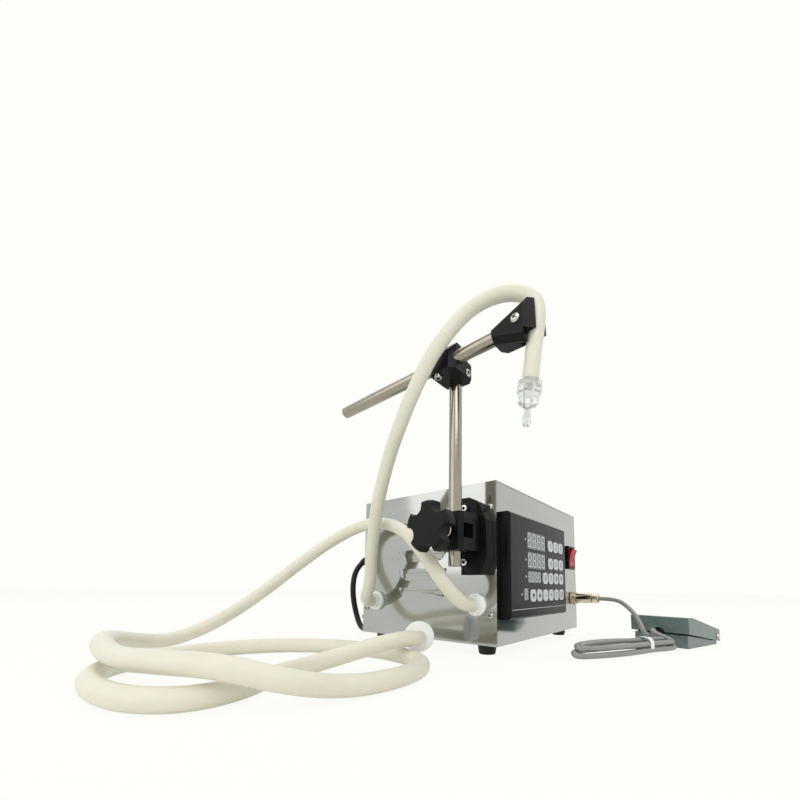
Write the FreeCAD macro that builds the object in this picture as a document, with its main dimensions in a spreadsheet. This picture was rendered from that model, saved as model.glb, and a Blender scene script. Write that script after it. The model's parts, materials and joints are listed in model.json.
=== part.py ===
import FreeCAD, Part
import math
import os
import re

import Sketcher

# Benchtop liquid filling machine: a steel case with a gear pump, a control panel, a nozzle stand,
# a delivery hose, a suction hose with strainer, and a foot pedal on a cable.
# Millimetres. X runs to the right along the front face, Y to the rear, Z up.
# The origin is on the floor under the middle of the case.

Vector = FreeCAD.Vector
Rotation = FreeCAD.Rotation
Placement = FreeCAD.Placement

SIZES = [
    # case
    ("case_width", 230),
    ("case_depth", 180),
    ("case_height", 155),
    ("foot_height", 10),
    ("sheet_wall", 1.2),
    ("flange_depth", 14),
    ("seat_gap", 0.3),
    ("louvre_length", 66),
    ("louvre_drop", 12.5),
    ("louvre_bulge", 4),
    ("louvre_pitch", 20.3),
    ("louvre_low", 62.5),
    ("louvre_count", 4),
    ("screw_inset", 6.5),
    ("screw_low", 38),
    ("screw_high", "=foot_height + case_height - 25"),
    ("foot_top_radius", 9.5),
    ("foot_base_radius", 8),
    ("foot_across", "=case_width / 2 - 17"),
    ("foot_along", "=case_depth / 2 - 20"),
    # control panel
    ("panel_left", "=-case_width / 2 + 8"),
    ("panel_low", 34),
    ("panel_width", 153),
    ("panel_tall", 102),
    ("panel_deep", 9.5),
    ("panel_wall", 2.4),
    ("panel_bevel", 2),
    ("film_inset", 2.6),
    ("film_thick", 0.6),
    ("key_pitch", 16.6),
    ("key_right", "=panel_left + 134.2"),
    ("key_wide", 13.2),
    ("key_tall", 12.4),
    ("key_proud", 0.9),
    ("key_travel", 0.5),
    ("key_gap", 0.25),
    ("row_one", "=panel_low + 77"),
    ("row_two", "=panel_low + 57"),
    ("row_three", "=panel_low + 40.3"),
    ("row_four", "=panel_low + 22"),
    ("board_thick", 1.6),
    ("board_gap", 5.2),
    # power switch
    ("rocker_across", "=case_width / 2 - 22.5"),
    ("rocker_up", 104.8),
    ("bezel_wide", 26),
    ("bezel_tall", 31),
    ("bezel_proud", 3.2),
    ("rocker_wide", 19.4),
    ("rocker_tall", 24.4),
    ("rocker_gap", 0.6),
    ("rocker_pivot", "=-case_depth / 2 - 0.5"),
    ("rocker_tilt", 10),
    # signal connector
    ("plug_across", "=case_width / 2 - 21.4"),
    ("plug_up", 50.7),
    ("plug_radius", 6.4),
    ("ring_radius", 8.4),
    ("socket_radius", 5.4),
    # hose fittings
    ("fitting_up", 47.5),
    ("outlet_along", "=case_depth / 2 - 24"),
    ("inlet_along", "=-case_depth / 2 + 21"),
    ("fitting_flange_radius", 10.6),
    ("nut_radius", 9),
    ("hose_radius", 6.5),
    ("fitting_reach", 8),
    # stand
    ("mast_across", "=-case_width / 2 - 33"),
    ("mast_along", "=-case_depth / 2 + 24"),
    ("mast_radius", 6),
    ("mast_low", 82),
    ("mast_length", 191),
    ("block_front", "=mast_along - 21"),
    ("block_rear", "=mast_along + 11"),
    ("block_high", "=foot_height + case_height - 14.5"),
    ("block_low", "=block_high - 75"),
    ("block_thick", 12),
    ("jaw_low", "=block_low + 20.5"),
    ("jaw_high", "=jaw_low + 34"),
    ("bore_gap", 0.05),
    ("knob_up", "=jaw_low + 17"),
    ("knob_radius", 22),
    ("knob_thick", 13),
    ("arm_across", "=mast_across - 16"),
    ("arm_up", 266),
    ("arm_radius", 6),
    ("arm_front", -134),
    ("arm_rear", 74),
    ("arm_rise", 3),
    ("head_long", 28),
    ("head_tall", 24),
    ("head_sink", 3),
    # nozzle holder
    ("holder_left", "=arm_across - 8"),
    ("holder_wide", 29),
    ("channel_left", "=arm_across - 0.8"),
    ("channel_wide", 14.8),
    ("nozzle_across", "=arm_across + 7"),
    ("nozzle_along", -139),
    ("nozzle_up", 190),
    ("nozzle_seat", 32),
    ("strainer_across", -165.5),
    ("strainer_along", -40.3),
    ("strainer_up", 19),
    # pump and drive
    ("pump_left", "=-case_width / 2 + 25"),
    ("pump_up", 47.5),
    ("gear_radius", 12),
    ("gear_teeth", 12),
    ("gear_wide", 16),
    ("motor_radius", 24),
    ("motor_length", 66),
    # foot pedal
    ("pedal_x", 64),
    ("pedal_y", -223),
    ("pedal_turn", -18),
    ("pedal_long", 80),
    ("pedal_wide", 62),
    ("pedal_tall", 33),
    ("pedal_heel", 17),
    ("pedal_skirt", 16),
    ("pedal_wall", 2),
    ("hinge_inset", 6),
    ("hinge_up", 9.5),
    ("pin_radius", 2),
    ("cable_radius", 2.5),
    ("hank_tall", 17),
    # mains lead
    ("mains_radius", 3.5),
    ("gland_across", -80),
    ("gland_up", 104),
    ("coil_across", 0),
    ("coil_along", 155),
    ("plug_rest_across", 46),
    ("plug_rest_along", 155),
]

doc = FreeCAD.newDocument("FillingMachine")
dims = doc.addObject("Spreadsheet::Sheet", "dims")
for row, (alias, value) in enumerate(SIZES, start=1):
    dims.set("A%d" % row, alias)
    dims.set("B%d" % row, str(value))
    dims.setAlias("B%d" % row, alias)
doc.recompute()

ALIASES = {alias for alias, value in SIZES}
NODES = []
COUNTS = {}

# Turns that lay a solid's own Z along the named direction.
FACING = {
    "up": Rotation(),
    "down": Rotation(Vector(1, 0, 0), 180),
    "left": Rotation(Vector(0, 1, 0), -90),
    "right": Rotation(Vector(0, 1, 0), 90),
    "front": Rotation(Vector(1, 0, 0), 90),
    "rear": Rotation(Vector(1, 0, 0), -90),
    "nozzle": Rotation(Vector(1, 0, 0), 7),
    "strainer": Rotation(Vector(0, 0, 1), Vector(0.76, 0.65, 0)),
}


def formula(text):
    """The text with each alias pointed at its cell in the sheet."""
    return re.sub(
        r"[a-z_][a-z0-9_]*",
        lambda word: "dims." + word.group() if word.group() in ALIASES else word.group(),
        str(text),
    )


def size(text):
    """The value in millimetres or degrees of an expression in the sheet's aliases."""
    values = {alias: float(dims.get(alias)) for alias in ALIASES}
    for alias in sorted(ALIASES, key=len, reverse=True):
        text = re.sub(r"\b%s\b" % alias, "(%r)" % values[alias], str(text))
    total = doc.getObject("dims").evalExpression(str(text))
    return float(getattr(total, "Value", total))


def fresh(name):
    COUNTS[name] = COUNTS.get(name, 0) + 1
    return "%s_%d" % (name, COUNTS[name])


def bind(thing, **values):
    for name, value in values.items():
        thing.setExpression(name, formula(value))


def put(thing, at, facing="up"):
    """Places a solid by three expressions and the direction that its own Z faces."""
    thing.Placement = Placement(Vector(), FACING[facing])
    for axis, value in zip("xyz", at):
        thing.setExpression("Placement.Base." + axis, formula(value))
    return thing


def box(low, high):
    """A block from one corner to the opposite one, each corner three expressions."""
    made = doc.addObject("Part::Box", fresh("block"))
    spans = ["(%s) - (%s)" % (b, a) for a, b in zip(low, high)]
    bind(made, Length=spans[0], Width=spans[1], Height=spans[2])
    return put(made, low)


def rod(at, radius, length, facing="up"):
    made = doc.addObject("Part::Cylinder", fresh("rod"))
    bind(made, Radius=radius, Height=length)
    return put(made, at, facing)


def ball(at, radius):
    made = doc.addObject("Part::Sphere", fresh("ball"))
    bind(made, Radius=radius)
    return put(made, at)


def fuse(*parts):
    made = doc.addObject("Part::MultiFuse", fresh("joined"))
    made.Shapes = list(parts)
    made.Refine = True
    return made


def group(*parts):
    made = doc.addObject("Part::Compound", fresh("set"))
    made.Links = list(parts)
    return made


def cut(base, *tools):
    made = doc.addObject("Part::Cut", fresh("cut"))
    made.Base = base
    made.Tool = tools[0] if len(tools) == 1 else group_tool(tools)
    made.Refine = True
    return made


def group_tool(tools):
    made = doc.addObject("Part::MultiFuse", fresh("cutter"))
    made.Shapes = list(tools)
    return made


def common(first, second):
    made = doc.addObject("Part::MultiCommon", fresh("shared"))
    made.Shapes = [first, second]
    return made


def plane_of(body, role):
    for feature in body.Origin.OriginFeatures:
        if feature.Role == role:
            return feature
    raise ValueError("the body has no plane " + role)


def outline(body, role, points):
    """A closed sketch of straight edges, each corner dimensioned from the sketch's origin."""
    sketch = body.newObject("Sketcher::SketchObject", fresh("outline"))
    sketch.AttachmentSupport = [(plane_of(body, role), "")]
    sketch.MapMode = "FlatFace"
    places = [Vector(size(across), size(up), 0) for across, up in points]
    count = len(places)
    for index in range(count):
        sketch.addGeometry(Part.LineSegment(places[index], places[(index + 1) % count]), False)
    for index in range(count):
        sketch.addConstraint(Sketcher.Constraint("Coincident", index, 2, (index + 1) % count, 1))
    for index, (across, up) in enumerate(points):
        place = places[index]
        number = sketch.addConstraint(Sketcher.Constraint("DistanceX", -1, 1, index, 1, place.x))
        sketch.setExpression("Constraints[%d]" % number, formula(across))
        number = sketch.addConstraint(Sketcher.Constraint("DistanceY", -1, 1, index, 1, place.y))
        sketch.setExpression("Constraints[%d]" % number, formula(up))
    return sketch


def turned(points, at, facing="up"):
    """A turned piece: a half profile of (radius, height) corners, revolved about its own Z."""
    body = doc.addObject("PartDesign::Body", fresh("turned"))
    sketch = outline(body, "XZ_Plane", points)
    spin = body.newObject("PartDesign::Revolution", fresh("spin"))
    spin.Profile = sketch
    spin.ReferenceAxis = (sketch, ["V_Axis"])
    spin.Angle = 360
    body.Tip = spin
    return put(body, at, facing)


def slab(role, points, start, length, bevel=None):
    """A profile in one of the main planes, padded from start by length along the plane's axis."""
    body = doc.addObject("PartDesign::Body", fresh("slab"))
    sketch = outline(body, role, points)
    pad = body.newObject("PartDesign::Pad", fresh("pad"))
    pad.Profile = sketch
    pad.setExpression("Length", formula(length))
    pad.Reversed = role == "XZ_Plane"
    body.Tip = pad
    if bevel is not None:
        doc.recompute()
        edge = body.newObject("PartDesign::" + bevel[0], fresh("edge"))
        edge.Base = (pad, edges_of(pad.Shape, bevel[2]))
        edge.setExpression("Size" if bevel[0] == "Chamfer" else "Radius", formula(bevel[1]))
        body.Tip = edge
    along = {"XY_Plane": "z", "XZ_Plane": "y", "YZ_Plane": "x"}[role]
    body.setExpression("Placement.Base." + along, formula(start))
    return body


def edges_of(shape, wanted):
    """The names of the straight edges that run along an axis and pass a test of their middle."""
    names = []
    for number, edge in enumerate(shape.Edges, start=1):
        way = edge.Vertexes[-1].Point - edge.Vertexes[0].Point
        if way.Length < 1e-6:
            continue
        way.normalize()
        if wanted(way, edge.CenterOfMass):
            names.append("Edge%d" % number)
    return names


def along_x(way, middle):
    return abs(way.x) > 0.999


def along_y(way, middle):
    return abs(way.y) > 0.999


def along_z(way, middle):
    return abs(way.z) > 0.999


def rounded_block(low, high, radius, way=along_z, kind="Fillet"):
    """A block whose edges along one axis are rounded or chamfered."""
    points = [
        (low[0], low[1]),
        (high[0], low[1]),
        (high[0], high[1]),
        (low[0], high[1]),
    ]
    return slab("XY_Plane", points, low[2], "(%s) - (%s)" % (high[2], low[2]), (kind, radius, way))


def front_edges(way, middle):
    """True for the edges round a padded profile's first face."""
    return abs(middle.y) < 0.01 and abs(way.y) < 0.01


def rectangle(across, up, wide, tall):
    """The corners of a rectangle about its middle."""
    return [
        ("(%s) - (%s) / 2" % (across, wide), "(%s) - (%s) / 2" % (up, tall)),
        ("(%s) + (%s) / 2" % (across, wide), "(%s) - (%s) / 2" % (up, tall)),
        ("(%s) + (%s) / 2" % (across, wide), "(%s) + (%s) / 2" % (up, tall)),
        ("(%s) - (%s) / 2" % (across, wide), "(%s) + (%s) / 2" % (up, tall)),
    ]


def node(name, made):
    """Names a finished sub-part."""
    made.Label = name
    NODES.append(made)
    return made


def tube(route, radius, name):
    """A round cord along straight runs joined by tangent arcs, as large as the runs allow."""
    points = [Vector(*point) for point in route]
    edges = []
    here = points[0]
    radii = []
    for index in range(1, len(points) - 1):
        before = points[index] - points[index - 1]
        after = points[index + 1] - points[index]
        turn = before.getAngle(after)
        short = min(before.Length, after.Length)
        reach = 0.45 * short
        radii.append(reach / math.tan(turn / 2))
        into = points[index] - Vector(before).normalize() * reach
        out = points[index] + Vector(after).normalize() * reach
        middle_way = (Vector(after).normalize() - Vector(before).normalize()).normalize()
        bulge = radii[-1] * (1 / math.cos(turn / 2) - 1)
        edges.append(Part.LineSegment(here, into).toShape())
        edges.append(Part.Arc(into, points[index] + middle_way * bulge, out).toShape())
        here = out
    edges.append(Part.LineSegment(here, points[-1]).toShape())
    path = Part.Wire(edges)
    start = Vector(points[1] - points[0]).normalize()
    ring = Part.Wire([Part.Circle(points[0], start, radius).toShape()])
    solid = path.makePipeShell([ring], True, False)
    ratio = solid.Volume / (math.pi * radius**2 * path.Length)
    print(
        "%s: length %.0f mm, tightest radius %.1f mm (%.1f diameters), volume ratio %.3f"
        % (name, path.Length, min(radii), min(radii) / (2 * radius), ratio)
    )
    made = doc.addObject("Part::Feature", name)
    made.Shape = solid
    return made


# Case
LEFT = "-case_width / 2"
RIGHT = "case_width / 2"
FRONT = "-case_depth / 2"
REAR = "case_depth / 2"
FLOOR = "foot_height"
TOP = "foot_height + case_height"
IN_LEFT = "-case_width / 2 + sheet_wall + seat_gap"
IN_RIGHT = "case_width / 2 - sheet_wall - seat_gap"
IN_TOP = "foot_height + case_height - sheet_wall - seat_gap"
PANEL_RIGHT = "panel_left + panel_width"
PANEL_HIGH = "panel_low + panel_tall"
PANEL_FACE = "-case_depth / 2 - panel_deep"


def louvre(side, index):
    """A pressed louvre's outer and inner forms: round-backed with ball ends, open at its top."""
    flip = "" if side == "right" else "-"
    inside = "(louvre_drop ^ 2 + louvre_bulge ^ 2) / (2 * louvre_bulge)"
    depth = "((%s) - louvre_bulge)" % inside
    centre = "%s(case_width / 2 - %s)" % (flip, depth)
    lip = "louvre_low + louvre_pitch * %d" % index
    ends = "louvre_length / 2 - louvre_drop"
    forms = []
    for shrink in ("0", "sheet_wall"):
        radius = "(%s) - %s" % (inside, shrink)
        middle = rod((centre, "-(%s)" % ends, lip), radius, "2 * (%s)" % ends, "rear")
        forms.append(fuse(middle, ball((centre, "-(%s)" % ends, lip), radius), ball((centre, ends, lip), radius)))
    return forms, lip


def make_cover():
    """The inverted tray that closes top and both sides, with pressed louvres in each side."""
    shell = cut(
        box((LEFT, FRONT, FLOOR), (RIGHT, REAR, TOP)),
        box(
            (LEFT + " + sheet_wall", FRONT + " - 1", FLOOR + " - 1"),
            (RIGHT + " - sheet_wall", REAR + " + 1", TOP + " - sheet_wall"),
        ),
    )
    hoods = []
    mouths = []
    for side in ("left", "right"):
        near = LEFT if side == "left" else RIGHT
        flip = "-" if side == "left" else ""
        for index in range(int(size("louvre_count"))):
            (outer, inner), lip = louvre(side, index)
            low = near + (" - louvre_bulge * 2" if side == "left" else " - 0.001")
            high = near + (" + 0.001" if side == "left" else " + louvre_bulge * 2")
            below = box(
                (low, "-louvre_length", lip + " - louvre_drop * 2"),
                (high, "louvre_length", lip),
            )
            hoods.append(cut(common(outer, below), inner))
            wall_low, wall_high = (
                (near + " - 1", near + " + sheet_wall + 1")
                if side == "left"
                else (near + " - sheet_wall - 1", near + " + 1")
            )
            window = box(
                (wall_low, "-louvre_length", lip + " - louvre_drop * 2"),
                (wall_high, "louvre_length", lip),
            )
            mouths.append(common(inner, window))
    openings = []
    for side, near in (("right", LEFT + " - 1"), ("right", RIGHT + " - sheet_wall - 1")):
        for along in ("-", ""):
            for up in ("screw_low", "screw_high"):
                openings.append(
                    rod(
                        (near, along + "(case_depth / 2 - screw_inset)", up),
                        "1.7",
                        "sheet_wall + 2",
                        side,
                    )
                )
    for along in ("outlet_along", "inlet_along"):
        openings.append(rod((LEFT + " - 1", along, "fitting_up"), "6.2", "sheet_wall + 2", "right"))
    for up in ("block_low + 12", "block_high - 11"):
        openings.append(
            rod((LEFT + " - 1", "block_rear - 5", up), "2.2", "sheet_wall + 2", "right")
        )
    return cut(fuse(shell, *hoods), *mouths, *openings)


def make_chassis():
    """The bent tray: bottom, front and rear panels, and flanges that the cover screws into."""
    outer = box((IN_LEFT, FRONT, FLOOR), (IN_RIGHT, REAR, IN_TOP))
    hollow = box(
        (IN_LEFT + " - 1", FRONT + " + sheet_wall", FLOOR + " + sheet_wall"),
        (IN_RIGHT + " + 1", REAR + " - sheet_wall", IN_TOP + " + 1"),
    )
    plates = [cut(outer, hollow)]
    for low, high in ((IN_LEFT, IN_LEFT + " + sheet_wall"), (IN_RIGHT + " - sheet_wall", IN_RIGHT)):
        plates.append(box((low, FRONT, FLOOR), (high, FRONT + " + flange_depth", IN_TOP)))
        plates.append(box((low, REAR + " - flange_depth", FLOOR), (high, REAR, IN_TOP)))
    openings = [
        box(
            ("panel_left + 6", FRONT + " - 1", "panel_low + 6"),
            (PANEL_RIGHT + " - 6", FRONT + " + sheet_wall + 1", PANEL_HIGH + " - 6"),
        ),
        box(
            ("rocker_across - bezel_wide / 2 + 1.6", FRONT + " - 1", "rocker_up - bezel_tall / 2 + 1.6"),
            (
                "rocker_across + bezel_wide / 2 - 1.6",
                FRONT + " + sheet_wall + 1",
                "rocker_up + bezel_tall / 2 - 1.6",
            ),
        ),
        rod(("plug_across", FRONT + " - 1", "plug_up"), "socket_radius + 0.6", "sheet_wall + 2", "rear"),
        rod(("gland_across", REAR + " - sheet_wall - 1", "gland_up"), "6.3", "sheet_wall + 2", "rear"),
    ]
    for slot in range(6):
        openings.append(
            box(
                ("%d" % (20 + slot * 9), REAR + " - sheet_wall - 1", "60"),
                ("%d" % (24 + slot * 9), REAR + " + 1", "110"),
            )
        )
    for low in (IN_LEFT + " - 1", IN_RIGHT + " - sheet_wall - 1"):
        for along in ("-", ""):
            for up in ("screw_low", "screw_high"):
                openings.append(
                    rod(
                        (low, along + "(case_depth / 2 - screw_inset)", up),
                        "1.35",
                        "sheet_wall + 2",
                        "right",
                    )
                )
    for across in ("-foot_across", "foot_across"):
        for along in ("-foot_along", "foot_along"):
            openings.append(rod((across, along, FLOOR + " - 1"), "1.7", "sheet_wall + 2"))
    for along in ("outlet_along", "inlet_along"):
        openings.append(rod((IN_LEFT + " - 1", along, "fitting_up"), "nut_radius + 0.8", "sheet_wall + 2", "right"))
    return cut(fuse(*plates), *openings)


def make_case_screws():
    """Eight pan-head screws through the cover's sides into the chassis flanges."""
    screws = []
    for side, near, way in (("left", LEFT, "right"), ("right", RIGHT, "left")):
        for along in ("-", ""):
            for up in ("screw_low", "screw_high"):
                profile = [
                    ("0", "-2"),
                    ("1.6", "-1.9"),
                    ("2.6", "-1.2"),
                    ("2.9", "0"),
                    ("1.3", "0"),
                    ("1.3", "5"),
                    ("0", "5"),
                ]
                screws.append(turned(profile, (near, along + "(case_depth / 2 - screw_inset)", up), way))
    return group(*screws)


def make_feet():
    """Four tapered rubber feet, each with the head of its screw set up inside."""
    feet = []
    for across in ("-foot_across", "foot_across"):
        for along in ("-foot_along", "foot_along"):
            profile = [
                ("3.6", "0"),
                ("foot_base_radius - 0.8", "0"),
                ("foot_base_radius", "0.8"),
                ("foot_top_radius", "foot_height"),
                ("1.8", "foot_height"),
                ("1.8", "4"),
                ("3.6", "4"),
            ]
            feet.append(turned(profile, (across, along, "0")))
    return group(*feet)


def make_foot_screws():
    """Four pan-head screws that hold the feet, heads up inside the rubber."""
    screws = []
    for across in ("-foot_across", "foot_across"):
        for along in ("-foot_along", "foot_along"):
            profile = [
                ("0", "1.6"),
                ("2.4", "1.6"),
                ("3.2", "2.4"),
                ("3.2", "4"),
                ("1.5", "4"),
                ("1.5", "foot_height + 5"),
                ("0", "foot_height + 5"),
            ]
            screws.append(turned(profile, (across, along, "0")))
    return group(*screws)


def key_places():
    """The middle of each key: three keys in the upper rows, then four, then six."""
    rows = [("row_one", 3), ("row_two", 3), ("row_three", 4), ("row_four", 6)]
    places = []
    for number, (row, count) in enumerate(rows, start=1):
        for column in range(count):
            places.append(("key_%d_%d" % (number, column + 1), "key_right - key_pitch * %d" % column, row))
    return places


WINDOWS = [
    ("panel_left + 40", "panel_left + 88.5", "row_one + 1.6", "18"),
    ("panel_left + 40.4", "panel_left + 88.1", "row_two + 1", "17.6"),
    ("panel_left + 40.8", "panel_left + 75.4", "row_three + 0.6", "12.4"),
    ("panel_left + 30.6", "panel_left + 42.2", "row_four + 1.4", "12.4"),
]


def pill(across, up, low, high, grow):
    """A key's form: a block with its four corners rounded, as deep as from low to high in Y."""
    wide = "key_wide / 2 + %s" % grow
    tall = "key_tall / 2 + %s" % grow
    points = [
        ("(%s) - (%s)" % (across, wide), "(%s) - (%s)" % (up, tall)),
        ("(%s) + (%s)" % (across, wide), "(%s) - (%s)" % (up, tall)),
        ("(%s) + (%s)" % (across, wide), "(%s) + (%s)" % (up, tall)),
        ("(%s) - (%s)" % (across, wide), "(%s) + (%s)" % (up, tall)),
    ]
    depth = "(%s) - (%s)" % (high, low)
    return slab("XZ_Plane", points, low, depth, ("Fillet", "4 + %s" % grow, along_y))


def make_panel_housing():
    """The moulded frame of the control panel: bevelled front, hollow back, windows and key holes."""
    points = [
        ("panel_left", "panel_low"),
        (PANEL_RIGHT, "panel_low"),
        (PANEL_RIGHT, PANEL_HIGH),
        ("panel_left", PANEL_HIGH),
    ]
    face = lambda way, middle: abs(middle.y - 0) < 0.01 and abs(way.y) < 0.01
    outer = slab(
        "XZ_Plane",
        points,
        PANEL_FACE,
        "panel_deep - seat_gap",
        ("Chamfer", "panel_bevel", face),
    )
    hollow = box(
        ("panel_left + panel_wall", PANEL_FACE + " + panel_wall + film_thick", "panel_low + panel_wall"),
        (
            PANEL_RIGHT + " - panel_wall",
            FRONT + " + 1",
            PANEL_HIGH + " - panel_wall",
        ),
    )
    seat = box(
        ("panel_left + film_inset", PANEL_FACE + " - 1", "panel_low + film_inset"),
        (
            PANEL_RIGHT + " - film_inset",
            PANEL_FACE + " + film_thick",
            PANEL_HIGH + " - film_inset",
        ),
    )
    holes = []
    for left, right, up, tall in WINDOWS:
        holes.append(
            box(
                (left, PANEL_FACE + " - 1", "%s - %s / 2" % (up, tall)),
                (right, FRONT, "%s + %s / 2" % (up, tall)),
            )
        )
    for name, across, up in key_places():
        holes.append(pill(across, up, PANEL_FACE + " - 1", FRONT, "key_gap"))
    return cut(outer, hollow, seat, *holes)


def make_panel_film():
    """The printed overlay in its recess, cut out at each window and key."""
    gap = "0.15"
    film = box(
        ("panel_left + film_inset + " + gap, PANEL_FACE, "panel_low + film_inset + " + gap),
        (
            PANEL_RIGHT + " - film_inset - " + gap,
            PANEL_FACE + " + film_thick",
            PANEL_HIGH + " - film_inset - " + gap,
        ),
    )
    holes = []
    for left, right, up, tall in WINDOWS:
        holes.append(
            box(
                (left, PANEL_FACE + " - 1", "%s - %s / 2" % (up, tall)),
                (right, FRONT, "%s + %s / 2" % (up, tall)),
            )
        )
    for name, across, up in key_places():
        holes.append(pill(across, up, PANEL_FACE + " - 1", FRONT, "key_gap"))
    return cut(film, *holes)


BOARD_FACE = PANEL_FACE + " + film_thick + panel_wall + board_gap"


def make_display(left, right, up, tall):
    """A digit module: its lens sits in the window and its body stands on the board."""
    lens = box(
        (left + " + 0.2", PANEL_FACE + " + 0.4", "%s - %s / 2 + 0.2" % (up, tall)),
        (right + " - 0.2", BOARD_FACE + " - 0.1", "%s + %s / 2 - 0.2" % (up, tall)),
    )
    return lens


def make_board():
    """The control board behind the panel, with a tactile switch under each key."""
    board = box(
        ("panel_left + panel_wall + 5", BOARD_FACE, "panel_low + panel_wall + 5"),
        (
            PANEL_RIGHT + " - panel_wall - 5",
            BOARD_FACE + " + board_thick",
            PANEL_HIGH + " - panel_wall - 5",
        ),
    )
    switches = []
    for name, across, up in key_places():
        switches.append(
            rod(
                (across, PANEL_FACE + " + film_thick + panel_wall + 1.2 + key_travel + 0.1", up),
                "2.2",
                "board_gap - 1.2 - key_travel - 0.1 + 0.2",
                "rear",
            )
        )
    legs = []
    for across in ("panel_left + 12", PANEL_RIGHT + " - 12"):
        for up in ("panel_low + 12", PANEL_HIGH + " - 12"):
            legs.append(
                rod(
                    (across, PANEL_FACE + " + film_thick + panel_wall + 0.1", up),
                    "2.5",
                    "board_gap",
                    "rear",
                )
            )
    return fuse(board, *switches, *legs)


def make_key(across, up):
    """A key cap with a collar behind the panel wall that keeps it in."""
    cap = pill(across, up, PANEL_FACE + " - key_proud", PANEL_FACE + " + film_thick + panel_wall + 0.4", "0")
    collar = pill(
        across,
        up,
        PANEL_FACE + " + film_thick + panel_wall + 0.1",
        PANEL_FACE + " + film_thick + panel_wall + 1.2",
        "0.8",
    )
    return fuse(cap, collar)


def make_bezel():
    """The power switch's frame, with a well that its rocker turns in and three blades behind."""
    frame = slab(
        "XZ_Plane",
        rectangle("rocker_across", "rocker_up", "bezel_wide", "bezel_tall"),
        FRONT + " - bezel_proud",
        "bezel_proud - seat_gap",
        ("Chamfer", "1.2", front_edges),
    )
    body = slab(
        "XZ_Plane",
        rectangle("rocker_across", "rocker_up", "bezel_wide - 3.8", "bezel_tall - 3.8"),
        FRONT + " - 1",
        "17",
    )
    well = slab(
        "XZ_Plane",
        rectangle("rocker_across", "rocker_up", "rocker_wide + rocker_gap", "rocker_tall + 2 * rocker_gap"),
        FRONT + " - bezel_proud - 1",
        "bezel_proud + 14",
    )
    blades = []
    for up in ("-7", "0", "7"):
        blades.append(
            box(
                ("rocker_across - 2.4", FRONT + " + 15", "rocker_up + %s - 0.4" % up),
                ("rocker_across + 2.4", FRONT + " + 25", "rocker_up + %s + 0.4" % up),
            )
        )
    pivot = rod(
        ("rocker_across - rocker_wide / 2 - 0.85", "rocker_pivot", "rocker_up"),
        "1.5 + bore_gap",
        "rocker_wide + 1.7",
        "right",
    )
    return cut(fuse(frame, body, *blades), well, pivot)


def make_rocker():
    """The rocker, standing with its upper end out, on two short pins of its own."""
    corners = [(11.8, 4.6), (4, 3.3), (-4, 3.3), (-11.8, 4.6), (-6, -5), (6, -5)]
    points = []
    for up, out in corners:
        points.append(
            (
                "rocker_pivot - (%g * cos(rocker_tilt) + %g * sin(rocker_tilt))" % (out, up),
                "rocker_up + %g * cos(rocker_tilt) - %g * sin(rocker_tilt)" % (up, out),
            )
        )
    paddle = slab("YZ_Plane", points, "rocker_across - rocker_wide / 2", "rocker_wide")
    pins = rod(
        ("rocker_across - rocker_wide / 2 - 0.7", "rocker_pivot", "rocker_up"),
        "1.5",
        "rocker_wide + 1.4",
        "right",
    )
    return fuse(paddle, pins)


def make_socket():
    """The panel socket for the pedal's plug: threaded barrel, inner flange, and contact block."""
    profile = [
        ("0", "-12"),
        ("4.6", "-12"),
        ("4.6", "-1.8"),
        ("7.5", "-1.5"),
        ("7.5", "-0.3"),
        ("socket_radius", "-0.3"),
        ("socket_radius", "6"),
        ("4.2", "6"),
        ("4.2", "3"),
        ("0", "3"),
    ]
    return turned(profile, ("plug_across", FRONT + " + sheet_wall", "plug_up"), "front")


def make_plug():
    """The cable plug: flange inside the ring, neck, barrel and cable collar."""
    profile = [
        ("0", "0.2"),
        ("5.2", "0.2"),
        ("5.2", "1.2"),
        ("4.5", "1.2"),
        ("4.5", "3.1"),
        ("plug_radius - 0.5", "3.1"),
        ("plug_radius", "3.6"),
        ("plug_radius", "22.5"),
        ("4.8", "23.5"),
        ("4.8", "25"),
        ("plug_radius - 0.6", "25.6"),
        ("plug_radius - 0.6", "30.2"),
        ("plug_radius - 1.6", "31.2"),
        ("0", "31.2"),
    ]
    return turned(profile, ("plug_across", FRONT + " + sheet_wall - 6", "plug_up"), "front")


def make_ring():
    """The coupling ring that draws the plug onto the socket, with grip flats all round."""
    profile = [
        ("socket_radius + 0.08", "-4"),
        ("ring_radius - 0.5", "-4"),
        ("ring_radius", "-3.5"),
        ("ring_radius", "2"),
        ("ring_radius - 0.6", "2.9"),
        ("4.58", "2.9"),
        ("4.58", "1.35"),
        ("socket_radius + 0.08", "1.35"),
    ]
    blank = turned(profile, ("plug_across", FRONT + " + sheet_wall - 6", "plug_up"), "front")
    flats = []
    for step in range(16):
        turn = 22.5 * step
        flats.append(
            rod(
                (
                    "plug_across + (ring_radius + 0.5) * cos(%g)" % turn,
                    FRONT + " + 7",
                    "plug_up + (ring_radius + 0.5) * sin(%g)" % turn,
                ),
                "0.9",
                "20",
                "front",
            )
        )
    return cut(blank, *flats)


def make_fittings():
    """Two bulkhead fittings in the left wall: flange outside, nut and spigot inside."""
    pieces = []
    for along in ("outlet_along", "inlet_along"):
        profile = [
            ("0", "-20"),
            ("4", "-20"),
            ("4", "-8"),
            ("nut_radius", "-7.5"),
            ("nut_radius", "-1.6"),
            ("6", "-1.6"),
            ("6", "0.3"),
            ("fitting_flange_radius", "0.3"),
            ("fitting_flange_radius", "3.4"),
            ("8.4", "4.4"),
            ("8.4", "fitting_reach"),
            ("0", "fitting_reach"),
        ]
        pieces.append(turned(profile, (LEFT, along, "fitting_up"), "left"))
    return group(*pieces)


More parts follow.
